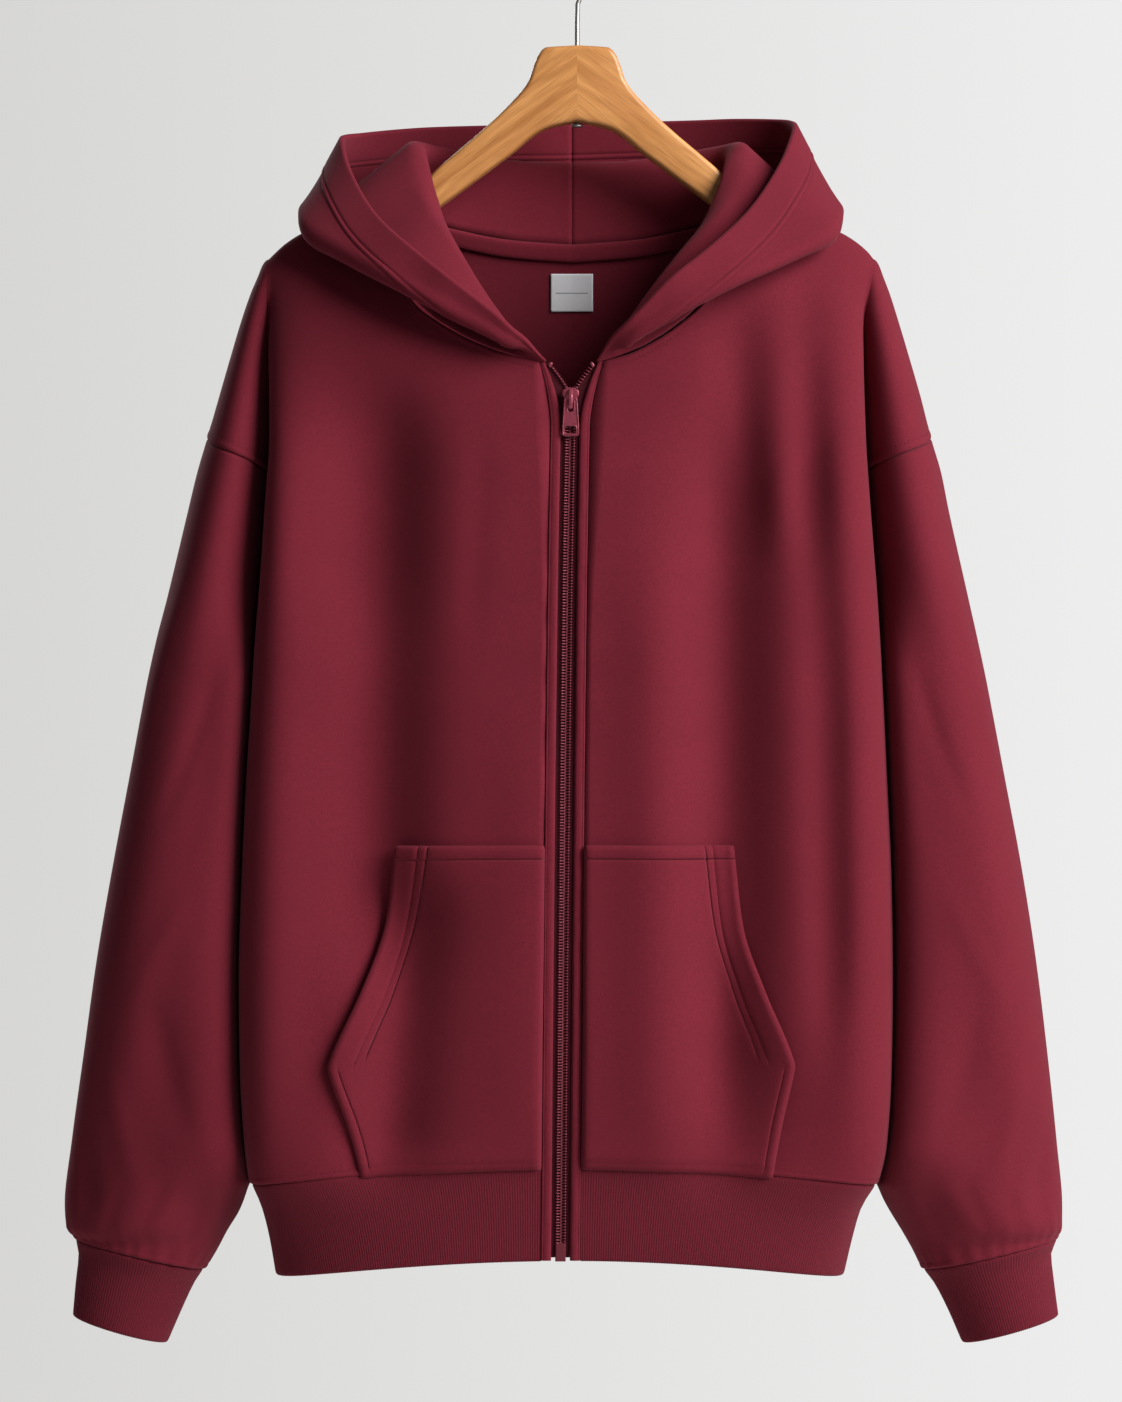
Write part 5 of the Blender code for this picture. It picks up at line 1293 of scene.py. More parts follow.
def band_levels(top, bottom, rows):
    """(level, inset, drop, rib) from the outer top edge, round the lower fold, to the inner top edge."""
    tall = bottom - top
    out = [(top, 1.6, -1.4, 0.0), (top, 0.6, -0.4, 0.3), (top + tall * 0.02, 0.1, 0, 0.8)]
    out += [(top + tall * s, 0.0, 0, 1.0) for s in np.linspace(0.05, 0.965, rows)]
    reach = RIB_CLOTH / 2
    for turn in np.radians([20, 50, 90, 130, 160]):
        inset, under = reach - reach * math.cos(turn), math.sin(turn)
        out.append((bottom, inset, reach * 0.8 * under - 0.8, 1.0 - 0.4 * under))
    out += [(bottom - tall * s, RIB_CLOTH, 0, 0.7) for s in (0.06, 0.35, 0.7, 0.99)]
    return out + out[:1]


def hem_path(z, inset, count=240):
    """Points round the hem band from the left front edge, round the back, to the right front edge."""
    quarters = []
    for side, face in ((LEFT, -1), (LEFT, 1), (RIGHT, 1), (RIGHT, -1)):
        width, box = body_section(side, face, np.array(float(z)))
        start = column_angle(side * zip_edge(side, z), width, box) if face < 0 else 0.0
        angle = np.linspace(start, math.pi / 2, count + 1)
        if side != face:
            angle = angle[::-1]
        across = across_at(angle, width, box)
        y = body_y(side, face, across, np.full(across.shape, float(z)))
        x, y = side * (across - inset * np.sin(angle)), y - face * inset * np.cos(angle)
        points = np.stack([x, y, dipped(z, across, width)], -1)
        quarters.append(points if not quarters else points[1:])
    return np.concatenate(quarters)


def make_ribs():
    ribbing("band_hem", hem_path, band_levels(HEM_SEAM_Z - 0.4, HEM_Z, 9), HEM_RIBS, False, "hem_band")
    angle = np.linspace(0, 2 * math.pi, 400)
    for side in (LEFT, RIGHT):
        def cuff_path(v, inset, side=side):
            return cuff_point(side, angle, np.full(angle.shape, float(v)), -inset)
        name = f"cuff_{NAMES[side]}"
        ribbing(f"band_{name}", cuff_path, band_levels(0.0, 1.0, 8), CUFF_RIBS, True, name)


# ---------------------------------------------------------------- hood
RIM_ROWS = (20.5, 24.3)  # the rim hem's two rows of stitches, from the rim
RIM_HEM = 26.5           # the hem's width
HEM_SWELL = 0.95         # how much thicker half the cloth is there
GROOVE = 0.65            # how deep stitches pull the cloth in
CENTRE_GROOVE = 0.75     # ... and the centre seam
THIN_CORNER = 0.45       # the cloth's share of its thickness at the front corner
FULL_WIDTH = 60          # where the hood is narrower than this, its columns move closer together
REST_COLUMNS = 83        # beyond those near the rim
# How far the hood's front corner is from the zip's end, and the share of the neckline that it draws along.
CORNER_ACROSS, CORNER_FORWARD, CORNER_UP, CORNER_SHARE = 1.6, 1.2, 0.6, 0.11
# The hood's columns near the rim, and its rows from the front corner to centre back.
FROM_RIM = np.array([0, 0.8, 2, 4, 7, 11, 15, 18, 19.4, 20.1, 20.5, 20.9,
                     21.6, 22.4, 23.3, 23.9, 24.3, 24.7, 25.4, 27, 30])
HOOD_ROWS = np.concatenate([
    np.linspace(0, 0.1, 14),
    np.linspace(0.1, 0.5, 34)[1:],
    np.linspace(0.5, 0.75, 40)[1:],
    np.linspace(0.75, 0.985, 34)[1:],
    [0.989, 0.992, 0.995, 0.997, 0.9985, 1.0],
])


def column_at(columns, distance):
    return int(np.argmin(np.abs(columns - distance)))


def hood_centre(side, t):
    """The middle of the hood's cloth, in rows along t from the rim to the neckline, and the distances from
    the rim that its columns would have at full width."""
    dense = hood_grid(side, t)
    run = lengths_along(dense, 1)
    total = run[:, -1:]
    shrink = np.minimum(1, total / FULL_WIDTH)
    near = FROM_RIM * shrink
    rest = np.linspace(0, 1, REST_COLUMNS + 1)[1:]
    from_rim = np.concatenate([near, near[:, -1:] + (total - near[:, -1:]) * rest], 1)
    centre = np.stack([resample(dense[i], run[i], total[i] - from_rim[i]) for i in range(len(t))])
    for _ in range(2):
        centre[1:-1] = (centre[:-2] + 2 * centre[1:-1] + centre[2:]) / 4
    corner_x = float(zip_x(ZIP_TOP_Z)) + side * (BEAD_TOP + CORNER_ACROSS)
    corner = front_point(corner_x, ZIP_TOP_Z + CORNER_UP) - [0, CORNER_FORWARD, 0]
    centre = centre + (1 - ease(t / CORNER_SHARE))[:, None, None] * (corner - centre[:1])
    return centre, from_rim / shrink


def make_hood():
    """Two hood panels with a hemmed rim, each a closed shell round the middle of its cloth."""
    t = HOOD_ROWS
    for side in (LEFT, RIGHT):
        centre, from_rim = hood_centre(side, t)
        normal = unit(np.cross(np.gradient(centre, axis=1), np.gradient(centre, axis=0))) * side
        edge = unit(centre[:, :1] - centre[:, 2:3])
        swell = HEM_SWELL * ease((RIM_HEM - from_rim) / 3.5)
        swell = swell - sum(GROOVE * bell(from_rim - d, 0.7) for d in RIM_ROWS)
        thick = (HOOD_CLOTH / 2 + swell) * (THIN_CORNER + (1 - THIN_CORNER) * ease(t / 0.12))[:, None]
        thick = (thick - CENTRE_GROOVE * bell(np.abs(centre[..., 0]), 1.3))[..., None]
        outer, inner = centre + normal * thick, centre - normal * thick
        lift, reach = normal[:, 0] * thick[:, 0], edge[:, 0] * thick[:, 0]
        turns = np.radians([60, 20, -20, -60])
        rounded = np.stack([centre[:, 0] + lift * math.sin(a) + reach * math.cos(a) for a in turns], 1)
        ring = np.concatenate([outer[:, ::-1], rounded, inner], 1)
        ends = centre[[0, -1]]
        flat = np.concatenate([ends[:, ::-1], np.repeat(ends[:, :1], len(turns), 1), ends], 1)
        ring = np.concatenate([flat[:1], ring, flat[1:]])
        name = f"hood_{NAMES[side]}"
        skin = sew(f"shell_{name}", ring, FLEECE, "burgundy_fleece", name,
                   flip=side == LEFT, closed=True, uv=grid_uv(ring))
        rows = [column_at(FROM_RIM, d) for d in RIM_ROWS]
        thread(f"stitches_{name}", [cloth[2:-2, k] for k in rows for cloth in (outer, inner)], skin)


# ---------------------------------------------------------------- pockets
POCKET_TALL = POCKET_TOP_Z - HEM_SEAM_Z
OPEN_SEAMS = (15.4, 21.6)    # the opening's two rows of stitches, from its edge
SIDE_SEAM, TOP_SEAM = 4.8, 7.7
POCKET_FROM_EDGE = 0.8   # from the front panel's edge at the zip
OPENING = 0.66           # the share of the pocket's height that is open at the side
HIGH_LIFT, LOW_LIFT = 1.0, 0.5           # how far it stands off the front along its opening and below that
POCKET_HEM = 0.5         # how much its hems stand out
SEWN_DOWN = 0.45         # its height where the hem's seam holds it
# The pocket's columns near its opening, and its rows down from its top.
FROM_OPEN = np.array([0, 0.5, 1, 1.7, 2.6, 3.8, 4.3, 4.8, 5.3, 6.5, 9, 12,
                      14.2, 15, 15.4, 15.8, 16.6, 18, 19.8, 21, 21.6, 22.2, 23.5, 26])
DOWN = np.concatenate([
    [0, 0.5, 1, 1.7, 2.6, 4, 6, 7.2, 7.7, 8.2, 9.5, 12],
    np.linspace(15, POCKET_TALL - 15, 74),
    POCKET_TALL - NEAR_SEAM,
])


def make_pockets():
    """Patch pockets with hemmed slanted openings, laid on the front."""
    down = DOWN[:, None]
    share, from_hem = down / POCKET_TALL, POCKET_TALL - down
    z = POCKET_TOP_Z - down
    open_hem = ease((OPENING - share) * 20)
    for side in (LEFT, RIGHT):
        inner, outer = side * zip_edge(side, z, ZIP_EDGE + POCKET_FROM_EDGE), half(POCKET, side, z)
        near = FROM_OPEN + 0 * z
        last = near[:, -1:]
        from_open = np.concatenate([near, last + (outer - inner - last) * np.linspace(0, 1, 36)[1:]], 1)
        x, flat_z = side * (outer - from_open), z + 0 * from_open
        base, normal = front_point(x, flat_z), front_normal(x, flat_z)
        base[..., 2] = dipped(flat_z, np.abs(x), body_section(side, -1, flat_z)[0])
        lift = HIGH_LIFT * ease(1 - from_open / 40) * np.sin(np.clip(share / 0.68, 0, 1) * math.pi) ** 0.7
        lift = lift + LOW_LIFT * ease((share - 0.6) * 4) * ease((1 - share) * 6) * ease(1 - from_open / 45)
        thick = POCKET_CLOTH + LAY_GAP + lift
        thick = thick + POCKET_HEM * ease((OPEN_SEAMS[0] - from_open) / 2) * open_hem
        thick = thick + POCKET_HEM * ease((TOP_SEAM - down) / 1.5)
        for seam in OPEN_SEAMS:
            thick = thick - GROOVE * bell(from_open - seam, 0.75) * open_hem
        thick = thick - 0.5 * bell(down - TOP_SEAM, 0.8)
        thick = thick - 0.6 * bell(from_open - SIDE_SEAM, 0.7) * ease((share - 0.655) * 40)
        thick = SEWN_DOWN + (thick - SEWN_DOWN) * ease(from_hem / 9) + seam_rise(from_hem, HEM_ALLOWANCE)
        thick = thick - 1.6 * bell(from_open, 0.8) - 1.6 * bell(down, 0.8)
        thick = thick - 1.4 * bell(from_open[:, -1:] - from_open, 0.8)
        grid = base + normal * thick[..., None]
        name = f"pocket_{NAMES[side]}"
        skin = sew(f"patch_{name}", grid, FLEECE, "burgundy_fleece", name, POCKET_CLOTH, flip=side == RIGHT,
                   uv=np.stack([x, -flat_z], -1))
        open_rows = DOWN < (OPENING - 0.025) * POCKET_TALL
        side_rows = (DOWN > (OPENING + 0.005) * POCKET_TALL) & (DOWN < POCKET_TALL - 2)
        lines = [grid[open_rows, column_at(FROM_OPEN, seam)][4:] for seam in OPEN_SEAMS]
        lines.append(grid[side_rows, column_at(FROM_OPEN, SIDE_SEAM)])
        for row in (column_at(DOWN, TOP_SEAM), 3, column_at(DOWN, POCKET_TALL - HEM_ALLOWANCE)):
            lines.append(grid[row, 3:-2])
        thread(f"stitches_{name}", lines, skin)


# ---------------------------------------------------------------- zip
def along_zip(top, bottom, count):
    """Levels down the zip, closer together where its edges turn back."""
    low = np.linspace(ZIP_OPEN_Z, bottom, count)[1:]
    return np.concatenate([np.linspace(top, ZIP_OPEN_Z, 26), low])[:, None]


def strip_on_front(name, side, z, offsets, heights, material, slot, replaced, thickness=0.0):
    """A strip along the zip. offsets and heights are rows by columns, from the axis and from the front."""
    x = zip_x(z) + side * offsets
    grid = front_point(x, z) + front_normal(x, z) * heights[..., None]
    uv = np.stack([offsets, -z + 0 * x], -1)
    return sew(name, grid, material, slot, replaced, thickness, flip=side == RIGHT, uv=uv), grid


# A facing's height at each share of its way from the teeth to the panel.
FACING = table(
    "share high",
    (0, -1.5),
    (0.02, -0.4),
    (0.06, 0.25),
    (0.13, 0.7),
    (0.25, 1.0),
    (0.4, 1.1),
    (0.55, 1.05),
    (0.68, 0.9),
    (0.76, 0.7),
    (0.80, 0.55),    # the row of stitches
    (0.84, 0.7),
    (0.9, 0.75),
    (0.95, 0.5),
    (0.985, 0.0),
    (1.0, -0.9),
    (1.12, -1.9),
)


def make_facings():
    """Folded facings, rounded along both edges, with a row of stitches by the outer one."""
    z = along_zip(ZIP_TOP_Z + 0.4, HEM_Z, 150)
    near, far = FACING_EDGE + FACING_SPREAD * zip_opening(z), ZIP_EDGE - LAY_GAP + zip_opening(z)
    ripple = 0.18 * np.sin(z / 7.0 + 2.2 * np.sin(z / 37.0)) + 0.12 * np.sin(z / 3.1)
    heights = FACING["high"] + ripple * np.sin(np.minimum(FACING["share"], 1) * math.pi)
    seam = column_at(FACING["share"], 0.80)
    for side in (LEFT, RIGHT):
        name = f"facing_{NAMES[side]}"
        skin, grid = strip_on_front(f"strip_{name}", side, z, near + (far - near) * FACING["share"], heights,
                                    FLEECE, "burgundy_fleece", name)
        thread(f"stitches_{name}", [grid[4:-3, seam]], skin, pitch=2.9, proud=0.08)


# A tooth's half width and height at each reach from its bead, beside the tape, to its tip.
CLOSED_TOOTH = table(
    "reach wide high",
    (-2.3, 0.30, 0.5),
    (-2.0, 0.62, 1.30),
    (-1.2, 0.62, 1.35),
    (-0.8, 0.42, 0.55),
    (0.3, 0.40, 0.25),
    (0.9, 0.52, 0.25),
    (1.5, 0.45, 0.15),
    (1.8, 0.25, 0.1),
)
OPEN_TOOTH = table(
    "reach wide high",
    (-1.7, 0.30, 0.5),
    (-1.4, 0.62, 1.0),
    (-0.4, 0.60, 1.15),
    (0.3, 0.50, 0.95),
    (1.0, 0.66, 0.95),
    (1.5, 0.35, 0.6),
)
OPEN_SIZE = {LEFT: 0.6, RIGHT: 0.95}     # the left edge is turned further from the front
TOOTH_PITCH = 2.0
CLOSED_OFFSET = 1.25     # how far a closed tooth's middle is from the axis
TAPE_NEAR = 0.15         # ... and the tapes' inner edges, where the zip is closed
TAPE_OUT = -1.9          # the tapes' outer side from the front's
TOOTH_RING = ((-1, 0), (-0.75, 0.8), (0, 1.0), (0.75, 0.8), (1, 0), (0, -1.0))   # its section, across and up
TOOTH_UNDER = 0.9        # how far a tooth reaches in below its middle


def ring_faces(rings, count, base=0):
    """Faces of a tube of points, ring after ring, with both ends closed."""
    faces = []
    for r in range(rings - 1):
        for k in range(count):
            a, j = base + r * count, (k + 1) % count
            faces.append((a + k, a + j, a + count + j, a + count + k))
    last = base + (rings - 1) * count
    return [*faces, tuple(range(base, base + count))[::-1], tuple(range(last, last + count))]


def teeth(name, places, form, replaced, size=None):
    """Moulded teeth by the form's table. Each place is (side, z, distance from the axis, lean)."""
    points, faces = [], []
    for side, z, offset, lean in places:
        scale = size[side] if size else 1.0
        x = zip_x(z) + side * offset
        spot, normal = front_point(x, z), front_normal(x, z)
        across = unit(np.array([1.0, 0, 0]) - normal * normal[0]) * side
        turn = math.cos(lean) * across + math.sin(lean) * np.cross(normal, across)
        down = np.cross(normal, turn)
        made = ring_faces(len(form["reach"]), len(TOOTH_RING), len(points))
        faces += made if side == RIGHT else [face[::-1] for face in made]
        for reach, wide, high in zip(*form.values()):
            for dw, dh in TOOTH_RING:
                height = CHAIN_OUT - 0.55 + (high if dh > 0 else TOOTH_UNDER) * dh
                points.append(spot - turn * reach * scale + down * wide * dw + normal * height)
    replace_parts(new_piece(name, np.array(points), faces, TEETH), replaced)


def make_zip():
    """Woven tapes, moulded teeth and stops."""
    z = along_zip(ZIP_TOP_Z, HEM_Z + 2, 90)
    near, far = np.maximum(bead_offset(z) - 1.4, TAPE_NEAR), ZIP_EDGE - 2 * LAY_GAP + zip_opening(z)
    near = np.where(z > SLIDER_TOP_Z - 14, near, TAPE_NEAR)
    share = np.linspace(0, 1, 9)[None, :]
    high = TAPE_OUT + 0.25 * np.sin(share * math.pi) + 0 * z
    for side in (LEFT, RIGHT):
        name = f"zip_tape_{NAMES[side]}"
        offsets = near + (far - near) * share
        strip_on_front(f"woven_{name}", side, z, offsets, high, TAPE, "zip_tape_weave", name, 0.6)
    closed = np.arange(SLIDER_TOP_Z - 12, HEM_Z + 11.4, -TOOTH_PITCH)
    places = [(LEFT, z, CLOSED_OFFSET, 0.0) for z in closed]
    places += [(RIGHT, z + TOOTH_PITCH / 2, CLOSED_OFFSET, 0.0) for z in closed]
    teeth("teeth_closed", places, CLOSED_TOOTH, "zip_chain")
    for side in (LEFT, RIGHT):
        places = []
        for z in np.arange(ZIP_TOP_Z - 4.0, SLIDER_TOP_Z - 1.5, -TOOTH_PITCH * 0.93):
            lean = -math.atan2(bead_offset(z + 1) - bead_offset(z - 1), 2) * 0.8
            places.append((side, z, bead_offset(z) + 0.2, lean))
        name = f"zip_top_{NAMES[side]}"
        teeth(f"teeth_{name}", places, OPEN_TOOTH, name, OPEN_SIZE)
        stop_z = ZIP_TOP_Z - 1.6
        x = zip_x(stop_z) + side * bead_offset(stop_z)
        spot = front_point(x, stop_z) + front_normal(x, stop_z) * 0.1
        stop = rounded_box(f"stop_{NAMES[side]}", (2.4, 2.4, 3.6), 0.8)
        place_piece(stop, spot, ZIP_METAL, turn=Matrix.Rotation(-side * 0.5, 3, "Y"))


def rounded_box(name, size, radius):
    """A box with rounded edges round the origin."""
    work = bmesh.new()
    bmesh.ops.create_cube(work, size=1.0)
    for vert in work.verts:
        vert.co = Vector([vert.co[i] * size[i] * MM for i in range(3)])
    bmesh.ops.bevel(work, geom=list(work.edges), offset=radius * MM, segments=3, affect="EDGES", profile=0.5)
    mesh = bpy.data.meshes.new(name)
    work.to_mesh(mesh)
    work.free()
    mesh.polygons.foreach_set("use_smooth", [True] * len(mesh.polygons))
    return object_of(name, mesh)


def place_piece(obj, spot, material, body=BODY_NAME, turn=None):
    """Finishes a piece that was made round the origin, and moves its mesh to its place."""
    if turn is not None:
        obj.data.transform(turn.to_4x4())
    obj.data.transform(Matrix.Translation(Vector(place(spot))))
    return finished(obj, material, body)


def outline_plate(name, outline, thickness, holes=(), bevel=0.3, segments=3):
    """A plate from an outline (x, z), with holes, as a mesh round the origin, its thickness along Y."""
    curve = bpy.data.curves.new(name, "CURVE")
    curve.dimensions = "2D"
    curve.fill_mode = "BOTH"
    curve.extrude = (thickness / 2 - bevel) * MM
    curve.bevel_depth = bevel * MM
    curve.bevel_resolution = segments
    curve.offset = -bevel * MM
    for ring in (outline, *holes):
        spline = curve.splines.new("POLY")
        spline.points.add(len(ring) - 1)
        for point, (x, z) in zip(spline.points, ring):
            point.co = (x * MM, z * MM, 0, 1)
        spline.use_cyclic_u = True
    made = object_of(name + "_curve", curve)
    made.rotation_euler = (math.pi / 2, 0, 0)
    bpy.context.view_layer.update()
    mesh = bpy.data.meshes.new_from_object(made.evaluated_get(bpy.context.evaluated_depsgraph_get()))
    mesh.transform(made.matrix_world)
    bpy.data.objects.remove(made)
    work = bmesh.new()
    work.from_mesh(mesh)
    bmesh.ops.remove_doubles(work, verts=work.verts, dist=0.002 * MM)
    bmesh.ops.recalc_face_normals(work, faces=work.faces)
    work.to_mesh(mesh)
    work.free()
    mesh.name = name
    mesh.shade_smooth()
    mesh.set_sharp_from_angle(angle=math.radians(40))
    return object_of(name, mesh)


def mirrored(flank):
    """The points and, in the other direction, their mirror images in x: a closed outline from half of one."""
    return [*flank, *((-x, z) for x, z in flank[::-1])]


def rounded_outline(corners, radius, steps=5):
    """A closed outline with its corners rounded. radius may be one number or one a corner."""
    corners = np.asarray(corners, float)
    out = []
    for i, (corner, r) in enumerate(zip(corners, np.broadcast_to(radius, len(corners)))):
        to_last, to_next = corners[i - 1] - corner, corners[(i + 1) % len(corners)] - corner
        before, after = unit(to_last), unit(to_next)
        angle = math.acos(float(np.clip(before @ after, -1, 1)))
        reach = min(r / math.tan(angle / 2), 0.49 * min(np.linalg.norm(to_last), np.linalg.norm(to_next)))
        a, b = corner + before * reach, corner + after * reach
        for s in np.arange(steps + 1) / steps:
            out.append(tuple((1 - s) ** 2 * a + 2 * s * (1 - s) * corner + s * s * b))
    return out


BRIDGE_HALF_WIDE, BRIDGE_HALF_THICK = 1.35, 0.52


def make_slider():
    """Slider body with a crown, side lobes and tapering flanges, and the bridge on it."""
    x, y, top = slider_frame()
    wide = SLIDER_WIDTH / 2
    flank = [(2.6, 1.4), (wide - 0.4, -0.6), (wide, -3.4), (wide - 1.4, -6.2), (3.9, -8.6)]
    flank.append((3.7, -SLIDER_LENGTH))
    outline = rounded_outline([(-px, pz) for px, pz in flank[::-1]] + flank, 1.3)
    body = outline_plate("slider_plate", outline[::-1], SLIDER_PLATE, bevel=0.6)
    place_piece(body, (x, y - LAY_GAP - SLIDER_PLATE / 2, top), ZIP_METAL)
    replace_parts(body, "zip_slider")
    _, _, axis_z = pull_axis()
    face = y - LAY_GAP - SLIDER_PLATE
    # The bridge's line (y, z) from the face and the pull's axis, smoothed by cutting its corners.
    path = np.array([(0.6, 7.4), (-0.8, 7.4), (-2.2, 6.0), (-3.9, 3.4), (-4.1, 0.8), (-4.1, -2.6),
                     (-3.7, -4.4), (-2.0, -5.6), (0.6, -5.8)]) + [face, axis_z]
    for _ in range(3):
        finer = [path[0]]
        for a, b in zip(path[:-1], path[1:]):
            finer += [a * 0.75 + b * 0.25, a * 0.25 + b * 0.75]
        path = np.array([*finer, path[-1]])
    tangent = unit(np.gradient(path, axis=0))
    ring, points = 12, []
    for (py, pz), (ty, tz) in zip(path, tangent):
        for turn in 2 * math.pi * np.arange(ring) / ring:
            c, s = math.cos(turn), math.sin(turn)
            across = BRIDGE_HALF_WIDE * math.copysign(abs(c) ** 0.7, c)
            high = BRIDGE_HALF_THICK * math.copysign(abs(s) ** 0.7, s)
            points.append((x + across, py - tz * high, pz + ty * high))
    faces = ring_faces(len(path), ring)
    turn_out(new_piece("slider_bridge", np.array(points), faces, ZIP_METAL))


def turn_out(obj):
    """Turns the faces outward."""
    work = bmesh.new()
    work.from_mesh(obj.data)
    bmesh.ops.recalc_face_normals(work, faces=work.faces)
    if work.calc_volume(signed=True) < 0:
        bmesh.ops.reverse_faces(work, faces=work.faces)
    work.to_mesh(obj.data)
    work.free()


def make_pull():
    """The pull tab: a plate with a raised rim, a slot that takes the bridge and a window near its foot."""
    top, low, foot = 4.5, 5.75, -PULL_LENGTH

    def ring(inset, radius, low_radius, notch=()):
        """The outline, that far inside the tab's edge, with or without the notch above the crossbar."""
        flank = [*notch, (top - inset, 1.5 - inset), (low - inset, foot + 6), (low - inset, foot + inset)]
        radii = [0.3] * len(notch) + [radius, 8, low_radius]
        return rounded_outline(mirrored(flank)[::-1], radii + radii[::-1], 6)

    def hole(wide_top, wide_low, high, bottom, r_top, r_low):
        corners = [(-wide_top, high), (wide_top, high), (wide_low, bottom), (-wide_low, bottom)]
        return rounded_outline(corners, (r_top, r_top, r_low, r_low))[::-1]

    slot = hole(2.1, 2.1, -0.8, -7.7, 0.4, 1.9)
    window = hole(3.8, 3.9, foot + 6.9, foot + 1.9, 1.7, 1.3)
    slot_lip = hole(2.9, 2.9, -0.4, -8.5, 0.6, 2.6)[::-1]
    window_lip = hole(4.5, 4.6, foot + 7.6, foot + 1.2, 2.2, 1.8)[::-1]
    outer = ring(0, 1.2, 2.2, ((2.0, 0.75), (2.0, 1.5)))
    inner = ring(0.95, 0.7, 1.5)[::-1]
    plate = outline_plate("pull_plate", outer, PULL_THICK - 0.7, (slot, window), bevel=0.35)
    pieces = (
        plate,
        outline_plate("pull_rim", outer, PULL_THICK, (inner,), bevel=0.4),
        outline_plate("pull_lip_slot", slot_lip, PULL_THICK - 0.25, (slot,)),
        outline_plate("pull_lip_window", window_lip, PULL_THICK - 0.25, (window,)),
    )
    for piece in pieces:
        place_piece(piece, pull_axis(), ZIP_METAL, "pull_tab")
    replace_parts(plate, "zip_pull")


# ---------------------------------------------------------------- inside the neck
TAPE_FROM_T = 0.76       # where the neck tape starts along the neckline


def make_neck_inside():
    """The label, and the tape over the back neckline's seam."""
    x = np.linspace(-LABEL_WIDTH / 2, LABEL_WIDTH / 2, 31)[None, :]
    z = LABEL_TOP_Z - np.linspace(0, LABEL_HEIGHT, 27)[:, None]
    grid = back_inside(x, z, CLOTH + LAY_GAP + LABEL_THICK)
    uv = np.stack([x + 0 * z, z + 0 * x], -1)
    skin = sew("label_cloth", grid, LABEL, "label_satin", "neck_label", 0.35, 0.0, uv=uv)
    tacks = [grid[1, 2:6], grid[1, -6:-2], grid[2:5, 1], grid[2:5, -2]]
    thread("stitches_label", tacks, skin, pitch=1.8, long=1.3, thick=0.4, material=WHITE_THREAD)
    t = np.linspace(TAPE_FROM_T, 1.0, 60)
    left, right = -neck_x(LEFT, t), neck_x(RIGHT, t[-2::-1])
    across, top = np.concatenate([left, right]), neck_z(np.concatenate([t, t[-2::-1]]))
    share = np.array([0, 0.04, 0.12, 0.3, 0.5, 0.7, 0.88, 0.96, 1.0])
    high = np.array([-0.9, 0.0, 0.35, 0.5, 0.5, 0.5, 0.35, 0.0, -0.9])
    level = top + 1.5 - (TAPE_HEIGHT + 3.2) * share[:, None]
    inward = CLOTH + 2 * LAY_GAP + NECK_TAPE_THICK + high
    grid = back_inside(across[None, :], level, inward[:, None])
    skin = sew("tape_neck", grid, FLEECE, "burgundy_fleece", "neck_tape", 0.9)
    thread("stitches_tape", [grid[1, 2:-2], grid[7, 2:-2]], skin, pitch=2.6, long=1.9)


# ---------------------------------------------------------------- hanger
def make_hanger():
    """The wood, with softly rounded edges."""
    x = np.concatenate([np.linspace(0, 36, 14), np.linspace(39, 196, 44)])
    top = np.stack([x, smooth(HANGER_TOP, "z", x, "x")], 1)
    bottom = np.stack([x, smooth(HANGER_BOTTOM, "z", x, "x")], 1)
    end = [(199.3, -228), (201, -230.6), (201.5, -233), (201, -235.6), (199.3, -238.4)]
    right = np.concatenate([top, end, bottom[::-1]])
    left = (right * [-1, 1])[::-1]
    outline = np.concatenate([right, left[1:-1]]).tolist()
    wood = outline_plate("wood_body", outline, HANGER_THICK, bevel=3.4, segments=4)
    place_piece(wood, (HUNG_LEFT, 0, 0), WOOD)
    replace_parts(wood, "hanger_wood")


def make_metal():
    """The hook and its nut stay as the solids have them."""
    for name in ("hanger_hook", "hanger_nut"):
        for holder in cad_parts[name].material_slots:
            holder.material = STEEL


# ---------------------------------------------------------------- the whole
FLEECE = knit("fleece_face", (0.170, 0.0135, 0.0275))
RIB = knit("rib_knit", (0.143, 0.0117, 0.0238), wale=0.9, course=0.7, sheen=0.2)
THREAD = thread_look("burgundy_thread", (0.16, 0.014, 0.028))
WHITE_THREAD = thread_look("white_thread", (0.7, 0.7, 0.7))
ZIP_METAL = lacquer("burgundy_lacquer", (0.33, 0.055, 0.09))
TEETH = lacquer("burgundy_teeth", (0.21, 0.022, 0.042), 0.42)
TAPE = woven_tape("zip_tape", (0.075, 0.008, 0.015))
LABEL = satin_label("label_white", (0.93, 0.93, 0.97))
WOOD = wood_look("varnished_wood")
STEEL = steel_look("hook_metal")

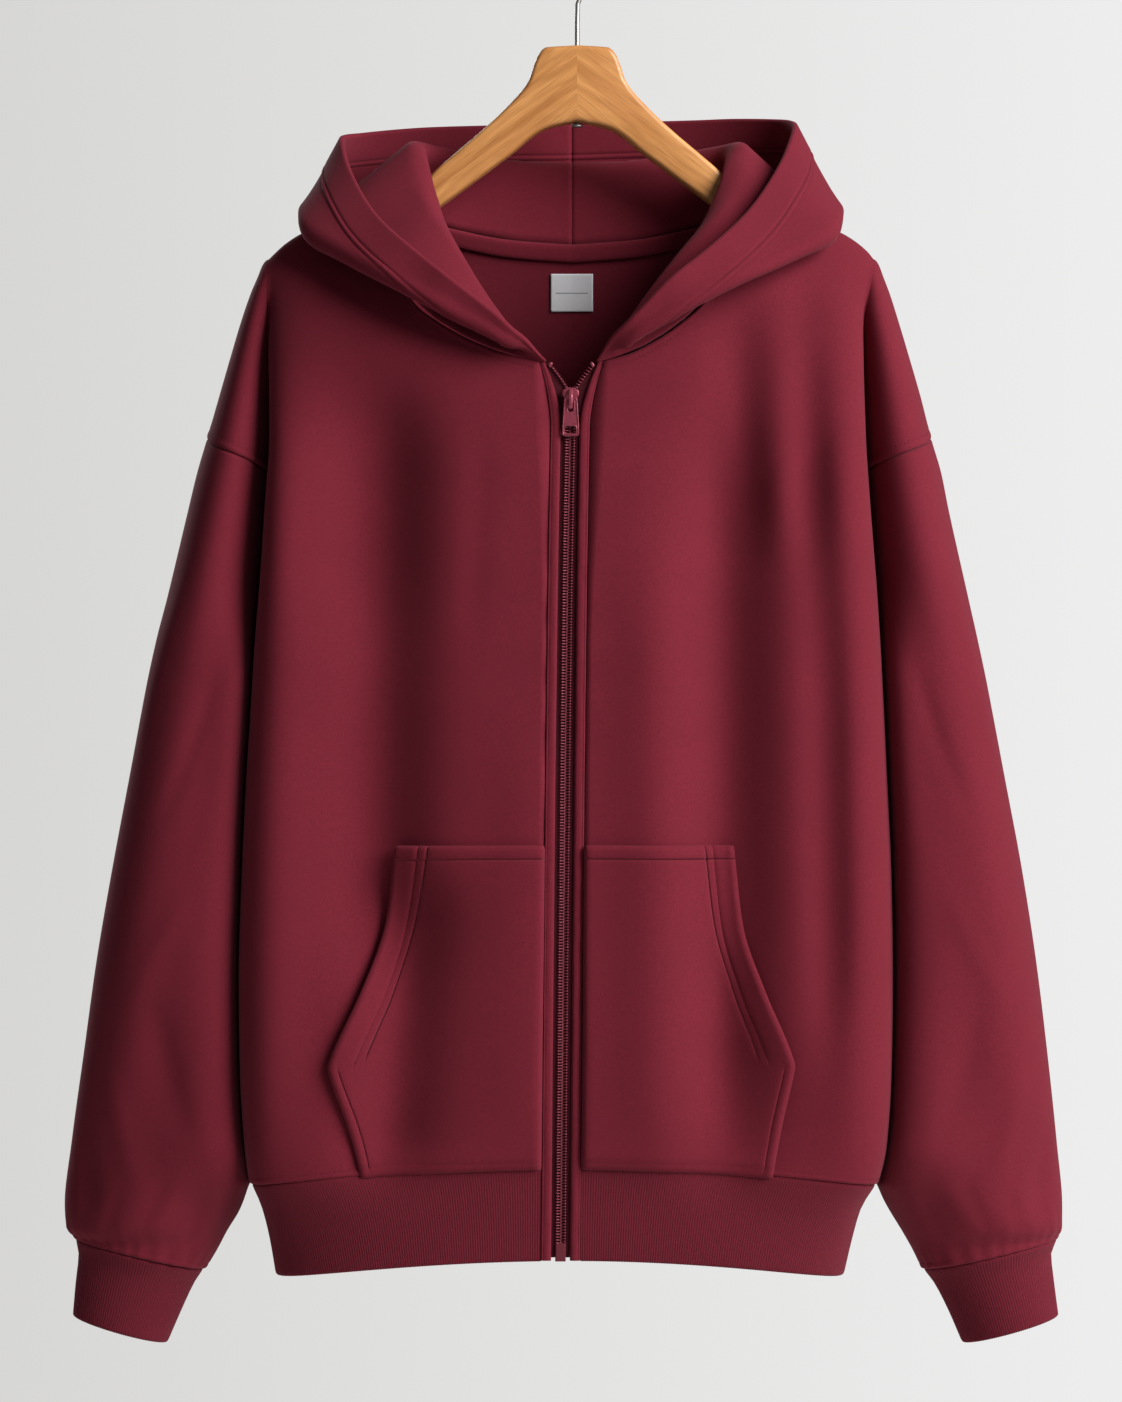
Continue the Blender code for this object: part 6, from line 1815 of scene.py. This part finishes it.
make_body()
make_sleeves()
make_ribs()
make_hood()
make_pockets()
make_facings()
make_zip()
make_slider()
make_pull()
make_neck_inside()
make_hanger()
make_metal()

# ---------------------------------------------------------------- camera, light and floor
CAMERA_FAR, SEEN_TALL, SENSOR = 3.0, 0.981, 36.0      # metres, metres, millimetres
camera = object_of("camera", bpy.data.cameras.new("camera"))
camera.location = (-0.0112, -CAMERA_FAR, -0.538)
camera.rotation_euler = (math.pi / 2, 0, 0)
camera.data.sensor_fit = "VERTICAL"
camera.data.sensor_height = SENSOR
camera.data.lens = SENSOR * CAMERA_FAR / SEEN_TALL
bpy.context.scene.camera = camera
MIDDLE = Vector((0, 0, -0.5))


def area_light(name, place_at, size, power, colour=(1, 1, 1)):
    """A soft round light that is turned to the garment's middle."""
    light = bpy.data.lights.new(name, "AREA")
    light.shape = "DISK"
    light.size = size
    light.energy = power
    light.color = colour
    obj = object_of(name, light)
    obj.location = place_at
    obj.rotation_euler = (MIDDLE - obj.location).to_track_quat("-Z", "Y").to_euler()


area_light("key", (2.9, -1.9, 1.3), 3.0, 258, (1.0, 0.99, 0.97))
area_light("back", (-1.6, 2.6, 0.8), 1.8, 45)
bpy.context.scene.view_settings.view_transform = "Standard"
world = bpy.data.worlds.new("studio")
bpy.context.scene.world = world
world.use_nodes = True
studio = Nodes(world.node_tree)
seen = studio.new("ShaderNodeLightPath").outputs["Is Camera Ray"]
background = world.node_tree.nodes["Background"]
across = studio.split(studio.new("ShaderNodeTexCoord").outputs["Generated"])["X"]
# The backdrop that the camera sees is painted darker to the left and lighter to the right. This is painted
# shade and light, as a wall takes them from the key on the right.
backdrop_painted_light = studio.mix(studio.ramp(across, -0.22, 0.16), (0.62, 0.615, 0.60), (0.87, 0.87, 0.87))
studio.put(background.inputs["Color"], studio.mix(seen, (0.10, 0.10, 0.10), backdrop_painted_light))
background.inputs["Strength"].default_value = 1.0
bpy.ops.mesh.primitive_cylinder_add(vertices=96, radius=1.7, depth=0.02, location=(0, 0, -1.62))
floor = bpy.context.object
floor.name = "floor"
floor.data.materials.append(Look("pale_floor", (0.78, 0.77, 0.75), 0.8).material)
